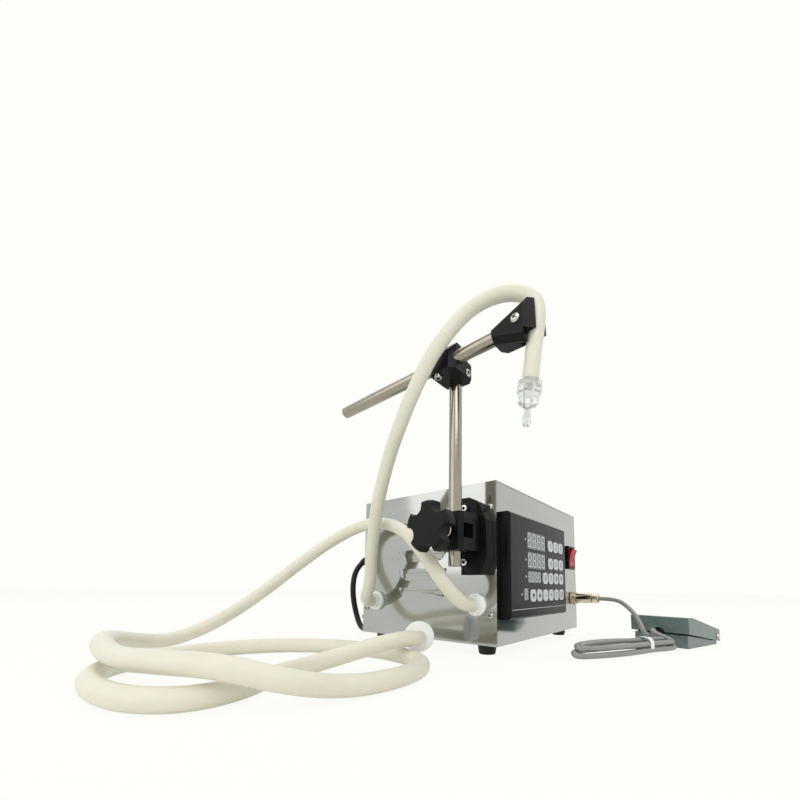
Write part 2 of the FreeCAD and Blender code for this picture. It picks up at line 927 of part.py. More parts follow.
def make_block():
    """The stand's block: a plate screwed to the case, with a bored and windowed jaw for the mast."""
    points = [
        ("block_rear", "block_low"),
        ("block_rear", "block_high"),
        ("block_front + 23", "block_high"),
        ("block_front + 8.5", "block_high - 8"),
        ("block_front + 1.5", "block_high - 24"),
        ("block_front", "block_low + 18"),
        ("block_front + 6.5", "block_low"),
    ]
    plate = slab("YZ_Plane", points, LEFT + " - seat_gap - block_thick", "block_thick")
    jaw = rounded_block(
        ("mast_across - 10.5", "mast_along - 14", "jaw_low"),
        (LEFT + " - seat_gap - 4", "mast_along + 14", "jaw_high"),
        "3.5",
        kind="Chamfer",
    )
    pockets = []
    for low, high in (("jaw_high", "block_high + 1"), ("block_low - 1", "jaw_low")):
        pockets.append(
            box(
                (LEFT + " - seat_gap - block_thick - 1", "block_rear - 21", low),
                (LEFT + " - seat_gap - 6", "block_rear + 1", high),
            )
        )
    bore = rod(("mast_across", "mast_along", "jaw_low - 1"), "mast_radius + bore_gap", "jaw_high - jaw_low + 2")
    window = box(
        ("mast_across - 7", "mast_along - 15", "jaw_low + 11"),
        ("mast_across + 8", "mast_along - 4", "jaw_high - 10"),
    )
    thread = rod(("mast_across - 12", "mast_along", "knob_up"), "3.05", "12", "right")
    holes = []
    for up in ("block_low + 12", "block_high - 11"):
        holes.append(rod((LEFT + " - 8", "block_rear - 5", up), "2.1", "10", "right"))
    return cut(fuse(plate, jaw), *pockets, bore, window, thread, *holes)


def socket_screw(at, facing, shank):
    """A socket-head screw: its head's seat is at the given place and the shank runs inwards."""
    profile = [
        ("0", "1.8"),
        ("1.7", "1.8"),
        ("1.7", "4"),
        ("3.1", "4"),
        ("3.5", "3.5"),
        ("3.5", "0"),
        ("1.95", "0"),
        ("1.95", "-%s" % shank),
        ("0", "-%s" % shank),
    ]
    return turned(profile, at, facing)


def make_block_screws():
    """The two socket screws that hold the stand's block to the case, with nuts inside."""
    screws = []
    for up in ("block_low + 12", "block_high - 11"):
        at = (LEFT + " - seat_gap - 6", "block_rear - 5", up)
        screws.append(socket_screw(at, "left", "13"))
    return group(*screws)


def make_pad():
    """The thrust pad between the knob's screw and the mast."""
    return rod(("mast_across - mast_radius - 0.05", "mast_along", "knob_up"), "2.95", "1.5", "left")


def make_knob():
    """The five-lobed clamping knob: star, tapered hub, metal collar and screw."""
    profile = [
        ("0", "0"),
        ("2.95", "0"),
        ("2.95", "8.4"),
        ("6.6", "8.4"),
        ("6.6", "10.4"),
        ("7.4", "10.4"),
        ("11", "21.4"),
        ("0", "21.4"),
    ]
    start = "mast_across - mast_radius - 1.65"
    stem = turned(profile, (start, "mast_along", "knob_up"), "left")
    star = turned(
        [
            ("0", "21.4"),
            ("knob_radius - 2.4", "21.4"),
            ("knob_radius - 0.8", "22.2"),
            ("knob_radius", "24"),
            ("knob_radius", "19 + knob_thick"),
            ("knob_radius - 1.2", "20.8 + knob_thick"),
            ("knob_radius - 3.2", "21.4 + knob_thick"),
            ("0", "21.4 + knob_thick"),
        ],
        (start, "mast_along", "knob_up"),
        "left",
    )
    valleys = []
    for step in range(5):
        turn = 72 * step + 54
        for reach in ("knob_radius - 0.6", "knob_radius + 6"):
            valleys.append(
                rod(
                    (
                        start + " - 20",
                        "mast_along + (%s) * cos(%g)" % (reach, turn),
                        "knob_up + (%s) * sin(%g)" % (reach, turn),
                    ),
                    "7.4",
                    "knob_thick + 8",
                    "left",
                )
            )
    return fuse(stem, cut(star, *valleys))


def make_mast():
    """The upright rod, with eased ends."""
    return turned(rod_profile("mast_radius", "mast_length"), ("mast_across", "mast_along", "mast_low"))


def rod_profile(radius, length):
    return [
        ("0", "0"),
        (radius + " - 0.6", "0"),
        (radius, "0.6"),
        (radius, length + " - 0.6"),
        (radius + " - 0.6", length),
        ("0", length),
    ]


def raised(made, at, facing="up"):
    """Places a solid that stands square to the arm, so that it leans with the arm's rise."""
    made.Placement = Placement(Vector(), Rotation(Vector(1, 0, 0), -size("arm_rise")) * FACING[facing])
    along = "((%s) - mast_along)" % at[1]
    up = "((%s) - arm_up)" % at[2]
    made.setExpression("Placement.Base.x", formula(at[0]))
    made.setExpression(
        "Placement.Base.y", formula("mast_along + %s * cos(arm_rise) + %s * sin(arm_rise)" % (along, up))
    )
    made.setExpression(
        "Placement.Base.z", formula("arm_up - %s * sin(arm_rise) + %s * cos(arm_rise)" % (along, up))
    )
    return made


def make_arm():
    """The cross arm, which rises a little towards the nozzle."""
    made = turned(rod_profile("arm_radius", "arm_rear - arm_front"), ("0", "0", "0"))
    return raised(made, ("arm_across", "arm_rear", "arm_up"), "front")


HEAD_LEFT = "arm_across - 9"
HEAD_RIGHT = "mast_across + 10"
HEAD_LOW = "(arm_up - 11)"


def make_crosshead():
    """The double clamp that joins arm and mast: a round-shouldered arm side and a lower mast side."""
    points = [
        (HEAD_LEFT, HEAD_LOW),
        (HEAD_LEFT, "arm_up + 6"),
        (HEAD_LEFT + " + 6", HEAD_LOW + " + head_tall"),
        ("arm_across + 7", HEAD_LOW + " + head_tall"),
        ("arm_across + 11", "arm_up + 4"),
        ("mast_across + 4", "arm_up + 3"),
        (HEAD_RIGHT, "arm_up - 2"),
        (HEAD_RIGHT, HEAD_LOW),
    ]
    outer = slab(
        "XZ_Plane",
        points,
        "mast_along - head_long / 2",
        "head_long",
        bevel=("Chamfer", "5", along_z),
    )
    bore = rod(
        ("mast_across", "mast_along", HEAD_LOW + " - 1"), "mast_radius + bore_gap", "head_tall + 2"
    )
    cross = rod(("0", "0", "0"), "arm_radius + bore_gap", "2 * head_long")
    raised(cross, ("arm_across", "mast_along + head_long", "arm_up"), "front")
    grooves = []
    for step in range(4):
        across = HEAD_LEFT + " + 3 + 3 * %d" % step
        grooves.append(
            box(
                (across, "mast_along + head_long / 2 - 7", HEAD_LOW + " - 1"),
                (across + " + 1.4", "mast_along + head_long / 2 + 1", HEAD_LOW + " + 0.8"),
            )
        )
    holes = []
    for place, facing in head_screws():
        holes.append(rod(place, "2", "7", {"down": "up", "front": "rear"}[facing]))
    seat = rod(
        ("mast_across - 1", "mast_along - head_long / 2 - 1", "arm_up - 7"), "3.6", "head_sink + 1", "rear"
    )
    return cut(outer, bore, cross, seat, *grooves, *holes)


def head_screws():
    """Seats of the two screws that clamp the arm, from below, and the mast, from the front."""
    return [
        (("arm_across - 4.5", "mast_along + 5", HEAD_LOW), "down"),
        (("mast_across - 1", "mast_along - head_long / 2 + head_sink", "arm_up - 7"), "front"),
    ]


def make_head_screws():
    return group(*[socket_screw(place, facing, "4") for place, facing in head_screws()])


def make_holder():
    """The nozzle holder: a wedge bored for the arm, with two prongs that clasp the hose."""
    side = [
        ("-117", "arm_up + 7"),
        ("-144", "arm_up + 17.5"),
        ("-152", "arm_up + 17.5"),
        ("-152", "arm_up - 8"),
        ("-144.5", "arm_up - 8"),
        ("-144.5", "arm_up - 16"),
        ("-142", "arm_up - 16"),
        ("-117", "arm_up - 7.7"),
    ]
    block = slab(
        "YZ_Plane",
        side,
        "0",
        "holder_wide",
        bevel=("Chamfer", "4.5", lambda way, middle: middle.x < 0.1 and 0.1 < abs(way.z) < 0.9),
    )
    raised(block, ("holder_left", "0", "0"))
    lead_in = slab(
        "XY_Plane",
        [("holder_left - 1", "-143.8"), ("holder_left - 1", "-154"), ("holder_left + 9.2", "-154")],
        "0",
        "60",
    )
    raised(lead_in, ("0", "0", "arm_up - 30"))
    flank = slab(
        "XY_Plane",
        [
            ("arm_across + 8", "-116"),
            ("arm_across + 21", "-138"),
            ("arm_across + 24", "-138"),
            ("arm_across + 24", "-110"),
            ("arm_across + 8", "-110"),
        ],
        "0",
        "60",
    )
    raised(flank, ("0", "0", "arm_up - 30"))
    keel = slab(
        "XZ_Plane",
        [
            ("arm_across + 3.5", "arm_up - 15.7"),
            ("arm_across + 22", "arm_up - 1.5"),
            ("arm_across + 22", "arm_up - 20"),
            ("arm_across + 3.5", "arm_up - 20"),
        ],
        "0",
        "60",
    )
    raised(keel, ("0", "-165", "0"))
    channel = box(("0", "0", "0"), ("channel_wide", "24", "60"))
    raised(channel, ("channel_left", "-162", "arm_up - 30"))
    bore = rod(("0", "0", "0"), "arm_radius + bore_gap", "24")
    raised(bore, ("arm_across", "arm_front + 22", "arm_up"), "front")
    hole = rod(("0", "0", "0"), "2", "7")
    raised(hole, ("holder_left - 1", "-138.4", "arm_up + 2.4"), "right")
    wedge = cut(cut(cut(block, lead_in), flank), keel)
    return cut(cut(cut(wedge, channel), bore), hole)


def make_holder_screw():
    """The pan-head screw in the holder's left face."""
    profile = [
        ("0", "-2.6"),
        ("2.4", "-2.2"),
        ("3.7", "-1"),
        ("3.9", "0"),
        ("1.9", "0"),
        ("1.9", "5.5"),
        ("0", "5.5"),
    ]
    made = turned(profile, ("0", "0", "0"))
    return raised(made, ("holder_left", "-138.4", "arm_up + 2.4"), "right")


def make_nozzle():
    """The filling nozzle: stepped collar that grips the hose, neck and barbed tip, bored through."""
    profile = [
        ("1.4", "0"),
        ("2.5", "0"),
        ("3.4", "2.6"),
        ("3.4", "8"),
        ("2.5", "10"),
        ("2.5", "14"),
        ("6.4", "16.6"),
        ("8", "18"),
        ("8", "25"),
        ("9.4", "26"),
        ("9.4", "34.5"),
        ("8.2", "36"),
        ("hose_radius + 0.1", "36"),
        ("hose_radius + 0.1", "nozzle_seat"),
        ("3.2", "nozzle_seat"),
        ("3.2", "18"),
        ("1.4", "14"),
    ]
    return turned(profile, ("nozzle_across", "nozzle_along", "nozzle_up"), "nozzle")


OUTLET_ROUTE = [
    (-123, 66, 47.5),
    (-133.5, 66, 47.5),
    (-139.8, 57.5, 55.2),
    (-142, 50, 68),
    (-149, 42, 94),
    (-157, 30.5, 121),
    (-164, 18.5, 145.5),
    (-169, 6, 169.5),
    (-174, -8, 192),
    (-178, -23, 212),
    (-182, -39, 231.6),
    (-184, -54, 249.8),
    (-183, -69.4, 269.3),
    (-178, -86.6, 288.8),
    (-170, -102, 303),
    (-162, -119, 309),
    (-158, -135, 305),
    (-157, -147, 295),
    (-157, -151.5, 280),
    (-157, -147, 255),
    (-157, -142.9, 221.8),
]

SUCTION_ROUTE = [
    (-123, -69, 47.5),
    (-133, -69, 47.5),
    (-146, -68, 53),
    (-159, -65, 64),
    (-166, -57, 79),
    (-164, -40, 97.5),
    (-154, -13, 116),
    (-141, 23, 130.5),
    (-136, 67, 135.5),
    (-150, 108, 117.5),
    (-178, 131.5, 88),
    (-208, 140, 61),
    (-236, 151, 37),
    (-264, 160, 19),
    (-294, 162, 10),
    (-324, 149, 16),
    (-347, 118, 23),
    (-358, 74, 23),
    (-359, 26, 20),
    (-353, -14, 23),
    (-335, -54, 23),
    (-309, -77, 13),
    (-278, -86, 7),
    (-245, -91, 6.8),
    (-211, -84, 6.9),
    (-190, -57, 6.8),
    (-183, -13, 6.9),
    (-191, 38, 6.8),
    (-217, 80, 6.9),
    (-256, 103, 6.8),
    (-298, 105, 6.9),
    (-338, 95, 6.8),
    (-363, 66, 6.9),
    (-371, 23, 6.8),
    (-366, -17, 6.9),
    (-347, -42, 6.8),
    (-319, -42, 6.9),
    (-291, -24, 6.8),
    (-260, -17, 7),
    (-233, -28, 13),
    (-207, -44, 21),
    (-187, -52, 22),
    (-175.3, -48.7, 19),
    (-165.5, -40.3, 19),
]

CABLE_ROUTE = [
    (93.6, -126, 50.7),
    (93.6, -138, 50.7),
    (90, -151, 48.5),
    (81, -161, 42.5),
    (70, -171, 34),
    (58, -179, 23),
    (46, -184, 14),
    (32, -180, 12),
]

TAIL_ROUTE = [
    (36, -192, 19),
    (48, -192.5, 20),
    (57, -191, 14.5),
    (66, -191.03, 8.8),
    (74.15, -193.7, 8.8),
]

MAINS_ROUTE = [
    (-80, 103.3, 104),
    (-81, 113, 103),
    (-88, 122, 97),
    (-99, 125, 84),
    (-104, 124, 66),
    (-103, 123, 46),
    (-96, 124, 26),
    (-84, 130, 11),
    (-67, 141, 4.5),
    (-45, 152, 3.6),
]


def make_cable():
    """The pedal's cable outside its hank: down from the plug, and from the hank into the pedal."""
    return group(
        tube(CABLE_ROUTE, size("cable_radius"), "cable_from_plug"),
        tube(TAIL_ROUTE, size("cable_radius"), "cable_to_pedal"),
    )


def make_hank():
    """The outer form of the tied hank of pedal cable, flat on the floor."""
    points = [
        ("0", "-10"),
        ("12", "-13"),
        ("98", "-9"),
        ("124", "-15"),
        ("142", "-13"),
        ("147", "0"),
        ("142", "15"),
        ("124", "19"),
        ("98", "12"),
        ("18", "22"),
        ("2", "18"),
        ("-4", "4"),
    ]
    made = slab("XY_Plane", points, "0", "hank_tall", ("Chamfer", "3", lambda way, middle: abs(way.z) < 0.01))
    made.setExpression("Placement.Base.x", None)
    made.Placement = Placement(Vector(-76, -146, 0), Rotation(Vector(0, 0, 1), -26.5))
    return made


def make_strainer():
    """The suction strainer at the hose's end: elbow seat, white disc and sieve ring."""
    profile = [
        ("0", "0"),
        ("5.5", "0"),
        ("6.5", "2.5"),
        ("12", "3"),
        ("12", "7.5"),
        ("13.5", "8"),
        ("13.5", "13"),
        ("12.5", "14"),
        ("0", "14"),
    ]
    return turned(profile, ("strainer_across", "strainer_along", "strainer_up"), "strainer")


def make_pump():
    """The gear pump's body on its foot, bored for both gears, their shafts and the two ports."""
    body = box(
        ("pump_left", "-21", "pump_up - 2 * gear_radius - 5"),
        ("pump_left + gear_wide + 14", "21", "pump_up + 2 * gear_radius + 5"),
    )
    foot = box(
        ("pump_left - 10", "-26", "foot_height + sheet_wall + seat_gap"),
        ("pump_left + gear_wide + 24", "26", "pump_up - 2 * gear_radius - 4"),
    )
    tools = []
    for up in ("pump_up + gear_radius", "pump_up - gear_radius"):
        tools.append(rod(("pump_left + 7 - 0.1", "0", up), "gear_radius * 7 / 6 + 0.12", "gear_wide + 0.2", "right"))
        tools.append(rod(("pump_left + 2", "0", up), "4 + bore_gap", "gear_wide + 10", "right"))
    tools.append(rod(("pump_left + 7", "0", "pump_up + gear_radius"), "4 + bore_gap", "gear_wide + 10", "right"))
    tools.append(rod(("pump_left + 7 + gear_wide / 2", "-32", "pump_up"), "3", "64", "rear"))
    ports = [
        rod(("pump_left + 7 + gear_wide / 2", "-30", "pump_up"), "6", "10", "rear"),
        rod(("pump_left + 7 + gear_wide / 2", "20", "pump_up"), "6", "10", "rear"),
    ]
    return cut(fuse(body, foot, *ports), *tools)


def gear_flank():
    """Corners of one involute tooth, twelve to the gear, as multiples of the pitch radius."""
    pressure = math.radians(25)
    base = math.cos(pressure)
    spread = math.pi / 24 - 0.008
    rolled = math.tan(pressure) - pressure
    side = []
    for reach in (0.79, 0.915, 0.955, 1.0, 1.05, 1.1, 1.155):
        meet = math.acos(min(1.0, base / reach))
        half = spread + rolled - (math.tan(meet) - meet)
        side.append((reach * math.sin(half), reach * math.cos(half)))
    return side + [(-across, up) for across, up in reversed(side)]


def make_gear(up, turn, shaft):
    """A spur gear on its shaft: one tooth, patterned round the hub."""
    body = doc.addObject("PartDesign::Body", fresh("gear"))
    points = [("gear_radius * %.5f" % a, "gear_radius * %.5f" % b) for a, b in gear_flank()]
    tooth = body.newObject("PartDesign::Pad", fresh("tooth"))
    tooth.Profile = outline(body, "XY_Plane", points)
    tooth.setExpression("Length", formula("gear_wide"))
    doc.recompute()
    ring = body.newObject("PartDesign::PolarPattern", fresh("ring"))
    ring.Originals = [tooth]
    ring.Axis = (plane_of(body, "Z_Axis"), [""])
    ring.Angle = 360
    ring.setExpression("Occurrences", formula("gear_teeth"))
    body.Tip = ring
    body.Placement = Placement(Vector(), FACING["right"] * Rotation(Vector(0, 0, 1), turn))
    for axis, value in zip("xyz", ("pump_left + 7", "0", up)):
        body.setExpression("Placement.Base." + axis, formula(value))
    hub = rod(("pump_left + 7", "0", up), "gear_radius * 0.8", "gear_wide", "right")
    pin = rod(("pump_left + 2.5", "0", up), "4", shaft, "right")
    return fuse(body, hub, pin)


def make_motor():
    """The drive motor: flange, can and end cap, bored for the pump's shaft."""
    profile = [
        ("4 + bore_gap * 2", "0"),
        ("motor_radius - 6", "0"),
        ("motor_radius - 6", "3"),
        ("motor_radius - 1", "3"),
        ("motor_radius", "4"),
        ("motor_radius", "motor_length - 8"),
        ("motor_radius - 3", "motor_length - 7"),
        ("motor_radius - 3", "motor_length"),
        ("0", "motor_length"),
        ("0", "16"),
        ("4 + bore_gap * 2", "16"),
    ]
    start = "pump_left + gear_wide + 14 + seat_gap"
    can = turned(profile, (start, "0", "pump_up + gear_radius"), "right")
    cradle = box(
        (start + " + 20", "-14", "foot_height + sheet_wall + seat_gap"),
        (start + " + 40", "14", "pump_up + gear_radius - motor_radius + 3"),
    )
    return fuse(cradle, can)


def make_inner_tubes():
    """The two tubes between the pump's ports and the fittings."""
    middle = size("pump_left + 7 + gear_wide / 2")
    up = size("pump_up")
    start = size(LEFT + " + 20")
    tubes = []
    for way, along in ((1, "outlet_along"), (-1, "inlet_along")):
        far = size(along)
        route = [
            (start, far, up),
            (start + 8, far, up),
            (middle - 3, far - 6 * way, up),
            (middle, far - 17 * way, up),
            (middle, 30.2 * way, up),
        ]
        tubes.append(tube(route, 4.5, fresh("inner_tube")))
    return group(*tubes)


def make_supply():
    """The power supply unit on its standoffs, with a row of terminals."""
    case = box(("34", "-8", "foot_height + 7"), ("102", "66", "foot_height + 46"))
    terminals = []
    for step in range(5):
        terminals.append(
            box(
                ("42 + 11 * %d" % step, "-15", "foot_height + 12"),
                ("50 + 11 * %d" % step, "-7", "foot_height + 21"),
            )
        )
    legs = []
    for across in ("42", "94"):
        for along in ("2", "56"):
            legs.append(rod((across, along, "foot_height + sheet_wall + seat_gap"), "3", "7"))
    return fuse(case, *terminals, *legs)


def on_pedal(made, at, facing="up"):
    """Places a solid in the pedal's own frame: along its length, across its width, and up."""
    made.Placement = Placement(Vector(), Rotation(Vector(0, 0, 1), size("pedal_turn")) * FACING[facing])
    along, across, up = ("(%s)" % value for value in at)
    made.setExpression(
        "Placement.Base.x",
        formula("pedal_x + %s * cos(pedal_turn) - %s * sin(pedal_turn)" % (along, across)),
    )
    made.setExpression(
        "Placement.Base.y",
        formula("pedal_y + %s * sin(pedal_turn) + %s * cos(pedal_turn)" % (along, across)),
    )
    made.setExpression("Placement.Base.z", formula(up))
    return made


def pedal_side(points, start, length):
    """A side profile of the pedal, given along and up, as thick as length from start."""
    body = slab("XZ_Plane", points, "0", length)
    return on_pedal(body, ("0", start, "0"))


def make_pedal_base():
    """The pedal's folded base: floor, low walls that taper to the heel, ears and cable bush."""
    inset = "pedal_wall + 0.8"
    wall = [
        (inset, "0"),
        ("pedal_long - 2.4", "0"),
        ("pedal_long - 2.4", "3.4"),
        (inset, "14"),
    ]
    outer = pedal_side(wall, inset, "pedal_wide - 2 * (%s)" % inset)
    hollow = on_pedal(
        box(
            ("0", "0", "0"),
            (
                "pedal_long - 2 * (%s) - 2 * pedal_wall" % inset,
                "pedal_wide - 2 * (%s) - 2 * pedal_wall" % inset,
                "40",
            ),
        ),
        ("(%s) + pedal_wall" % inset, "(%s) + pedal_wall" % inset, "pedal_wall"),
    )
    ears = []
    for start in ("%s + 0.2" % inset, "pedal_wide - (%s) - pedal_wall - 0.2" % inset):
        ear = [
            ("pedal_long - 15", "1"),
            ("pedal_long - 2.6", "1"),
            ("pedal_long - 2.6", "hinge_up + 1.5"),
            ("pedal_long - 4.5", "hinge_up + 3.6"),
            ("pedal_long - 9", "hinge_up + 3.6"),
        ]
        ears.append(pedal_side(ear, start, "pedal_wall"))
    pin = on_pedal(
        rod(("0", "0", "0"), "pin_radius + bore_gap", "pedal_wide + 4"),
        ("pedal_long - hinge_inset", "-2", "hinge_up"),
        "rear",
    )
    bush = on_pedal(rod(("0", "0", "0"), "cable_radius + 1.8", "7"), ("0.6", "pedal_wide / 2", "8.8"), "right")
    return cut(fuse(cut(outer, hollow), *ears, bush), pin)


def make_treadle():
    """The treadle: a folded lid, flat at the toe, that slopes to its hinge at the heel."""
    side = [
        ("0", "pedal_skirt"),
        ("pedal_long", "3.6"),
        ("pedal_long", "pedal_heel"),
        ("10", "pedal_tall"),
        ("0", "pedal_tall"),
    ]
    outer = pedal_side(side, "0", "pedal_wide")
    lowered = [
        ("pedal_wall", "-4"),
        ("pedal_long - pedal_wall + 6", "-4"),
        ("pedal_long - pedal_wall + 6", "pedal_heel - pedal_wall - 1.4"),
        ("10", "pedal_tall - pedal_wall"),
        ("pedal_wall", "pedal_tall - pedal_wall"),
    ]
    hollow = pedal_side(lowered, "pedal_wall", "pedal_wide - 2 * pedal_wall")
    arch = on_pedal(rod(("0", "0", "0"), "7", "8"), ("-3", "pedal_wide / 2", "14"), "right")
    pin = on_pedal(
        rod(("0", "0", "0"), "pin_radius + bore_gap", "pedal_wide + 4"),
        ("pedal_long - hinge_inset", "-2", "hinge_up"),
        "rear",
    )
    return cut(outer, hollow, arch, pin)


def make_pin():
    """The hinge pin, headed at both ends."""
    profile = [
        ("0", "-1.6"),
        ("2.6", "-1.6"),
        ("3.2", "-0.6"),
        ("3.2", "-0.1"),
        ("pin_radius", "-0.1"),
        ("pin_radius", "pedal_wide + 0.1"),
        ("3.2", "pedal_wide + 0.1"),
        ("3.2", "pedal_wide + 0.6"),
        ("2.6", "pedal_wide + 1.6"),
        ("0", "pedal_wide + 1.6"),
    ]
    made = turned(profile, ("0", "0", "0"))
    return on_pedal(made, ("pedal_long - hinge_inset", "0", "hinge_up"), "rear")


def make_switch():
    """The pedal's switch on the base, with its plunger just under the treadle."""
    body = on_pedal(
        box(("0", "0", "0"), ("12", "28", "18")),
        ("16", "pedal_wide / 2 - 14", "pedal_wall + 0.1"),
    )
    plunger = on_pedal(
        rod(("0", "0", "0"), "3", "4.6"), ("22", "pedal_wide / 2", "pedal_wall + 17.6")
    )
    return fuse(body, plunger)


def make_gland():
    """The mains lead's gland in the rear wall."""
    profile = [
        ("0", "-8"),
        ("6", "-8"),
        ("6", "0.3"),
        ("10", "0.3"),
        ("10", "5"),
        ("8", "6"),
        ("6.5", "13"),
        ("0", "13"),
    ]
    return turned(profile, ("gland_across", REAR, "gland_up"), "rear")


def make_coil():
    """The outer form of the mains lead's coil."""
    profile = [
        ("31", "2"),
        ("33", "0"),
        ("43", "0"),
        ("45.5", "3"),
        ("45.5", "19"),
        ("43", "21.5"),
        ("33", "21.5"),
        ("31", "19"),
    ]
    return turned(profile, ("coil_across", "coil_along", "0"))


def make_mains_plug():
    """The moulded mains plug, lying beside its coil."""
    grip = turned(
        [
            ("0", "0"),
            ("4.5", "0"),
            ("6", "4"),
            ("6.5", "16"),
            ("13", "24"),
            ("15", "26"),
            ("15", "36"),
            ("0", "36"),
        ],
        ("plug_rest_across", "plug_rest_along", "15"),
        "right",
    )
    pins = []
    for away in ("-9.5", "9.5"):
        pins.append(rod(("plug_rest_across + 35", "plug_rest_along + %s" % away, "15"), "2.3", "20", "right"))
    return fuse(grip, *pins)


def build_all():
    node("chassis", make_chassis())
    node("cover", make_cover())
    node("case_screws", group(make_case_screws(), make_foot_screws()))
    node("feet", make_feet())
    node("panel_housing", make_panel_housing())
    node("panel_film", make_panel_film())
    node("displays", group(*[make_display(*window) for window in WINDOWS]))
    node("control_board", make_board())
    for name, across, up in key_places():
        node(name, make_key(across, up))
    node("rocker_bezel", make_bezel())
    node("rocker", make_rocker())
    node("connector_socket", make_socket())
    node("connector_plug", make_plug())
    node("plug_ring", make_ring())
    node("hose_fittings", make_fittings())
    node("stand_block", make_block())
    node("block_screws", make_block_screws())
    node("thrust_pad", make_pad())
    node("knob", make_knob())
    node("mast", make_mast())
    node("crosshead", make_crosshead())
    node("crosshead_screws", make_head_screws())
    node("arm", make_arm())
    node("nozzle_holder", make_holder())
    node("holder_screw", make_holder_screw())
    node("nozzle", make_nozzle())
    node("outlet_hose", tube(OUTLET_ROUTE, size("hose_radius"), "hose_to_nozzle"))
    node("suction_hose", tube(SUCTION_ROUTE, size("hose_radius"), "hose_to_strainer"))
    node("strainer", make_strainer())
    node("pump_body", make_pump())
    node("drive_gear", make_gear("pump_up + gear_radius", 0, "gear_wide + 24"))
    node("driven_gear", make_gear("pump_up - gear_radius", 15, "gear_wide + 9"))
    node("motor", make_motor())
    node("pump_tubes", make_inner_tubes())
    node("power_supply", make_supply())
    node("pedal_base", make_pedal_base())
    node("pedal_treadle", make_treadle())
    node("pedal_pin", make_pin())
    node("pedal_switch", make_switch())
    node("pedal_cable", make_cable())
    node("cable_hank", make_hank())
    node("mains_gland", make_gland())
    node("mains_cord", tube(MAINS_ROUTE, size("mains_radius"), "mains_lead"))
    node("mains_coil", make_coil())
    node("mains_plug", make_mains_plug())


build_all()
doc.recompute()

for thing in doc.Objects:
    if "Invalid" in thing.State or "Error" in thing.State:
        raise RuntimeError("%s did not build: %s" % (thing.Name, thing.State))

os.makedirs("parts", exist_ok=True)
for made in NODES:
    if made.Shape.isNull() or not made.Shape.isValid():
        raise RuntimeError(made.Label + " has no valid shape")
    made.Shape.exportStep("parts/%s.step" % made.Label)
    spread = made.Shape.BoundBox
    print(
        "%-18s solids %d volume %9.0f x %.1f %.1f y %.1f %.1f z %.1f %.1f"
        % (
            made.Label,
            len(made.Shape.Solids),
            made.Shape.Volume,
            spread.XMin,
            spread.XMax,
            spread.YMin,
            spread.YMax,
            spread.ZMin,
            spread.ZMax,
        )
    )
print("%d sub-parts" % len(NODES))
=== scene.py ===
import json
import math

import bmesh
import bpy
from bpy.props import FloatProperty, FloatVectorProperty, IntProperty, PointerProperty
from mathutils import Matrix, Vector


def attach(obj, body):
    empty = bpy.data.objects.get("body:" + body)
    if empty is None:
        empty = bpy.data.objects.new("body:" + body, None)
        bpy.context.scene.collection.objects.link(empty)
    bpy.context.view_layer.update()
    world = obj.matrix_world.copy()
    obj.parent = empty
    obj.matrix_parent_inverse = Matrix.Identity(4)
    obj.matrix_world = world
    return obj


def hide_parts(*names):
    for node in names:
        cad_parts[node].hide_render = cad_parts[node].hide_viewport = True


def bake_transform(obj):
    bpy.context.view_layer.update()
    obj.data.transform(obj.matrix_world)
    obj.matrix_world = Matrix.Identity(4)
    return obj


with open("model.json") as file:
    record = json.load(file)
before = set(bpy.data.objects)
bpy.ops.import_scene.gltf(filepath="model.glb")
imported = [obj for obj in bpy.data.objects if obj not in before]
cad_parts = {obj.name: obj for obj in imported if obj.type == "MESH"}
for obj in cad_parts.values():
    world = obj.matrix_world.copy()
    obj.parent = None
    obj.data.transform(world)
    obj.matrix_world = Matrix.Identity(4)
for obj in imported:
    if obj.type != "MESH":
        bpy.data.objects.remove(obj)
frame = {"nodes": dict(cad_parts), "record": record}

bl_info = {
    "name": "Liquid filling machine",
    "version": (1, 0, 0),
    "blender": (4, 5, 0),
    "location": "View3D > Sidebar > Filling machine",
    "description": "Dresses the liquid filler with finishes, hoses, cables and fine pieces",
    "category": "Object",
}

# Metres throughout: X to the right along the front face, Y to the rear, Z up from the bench.
MM = 0.001

# Photograph: frame in pixels, focal length in pixels and principal point, and where the eye stood.
PHOTO_SIDE = 800
FOCAL_PIXELS = 374.9
PRINCIPAL = (435.1, 548.1)
EYE = Vector((-423.6, -256.5, 64.0)) * MM
YAW = math.radians(52.3)
PITCH = math.radians(5.87)
ROLL = math.radians(0.59)
SENSOR_MM = 36

# Routes of the free cords in millimetres, from their exits.
OUTLET_ROUTE = [
    (-123, 66, 47.5),
    (-133.5, 66, 47.5),
    (-139.8, 57.5, 55.2),
    (-142, 50, 68),
    (-149, 42, 94),
    (-157, 30.5, 121),
    (-164, 18.5, 145.5),
    (-169, 6, 169.5),
    (-174, -8, 192),
    (-178, -23, 212),
    (-182, -39, 231.6),
    (-184, -54, 249.8),
    (-183, -69.4, 269.3),
    (-178, -86.6, 288.8),
    (-170, -102, 303),
    (-162, -119, 309),
    (-158, -135, 305),
    (-157, -147, 295),
    (-157, -151.5, 280),
    (-157, -147, 255),
    (-157, -142.9, 221.8),
]

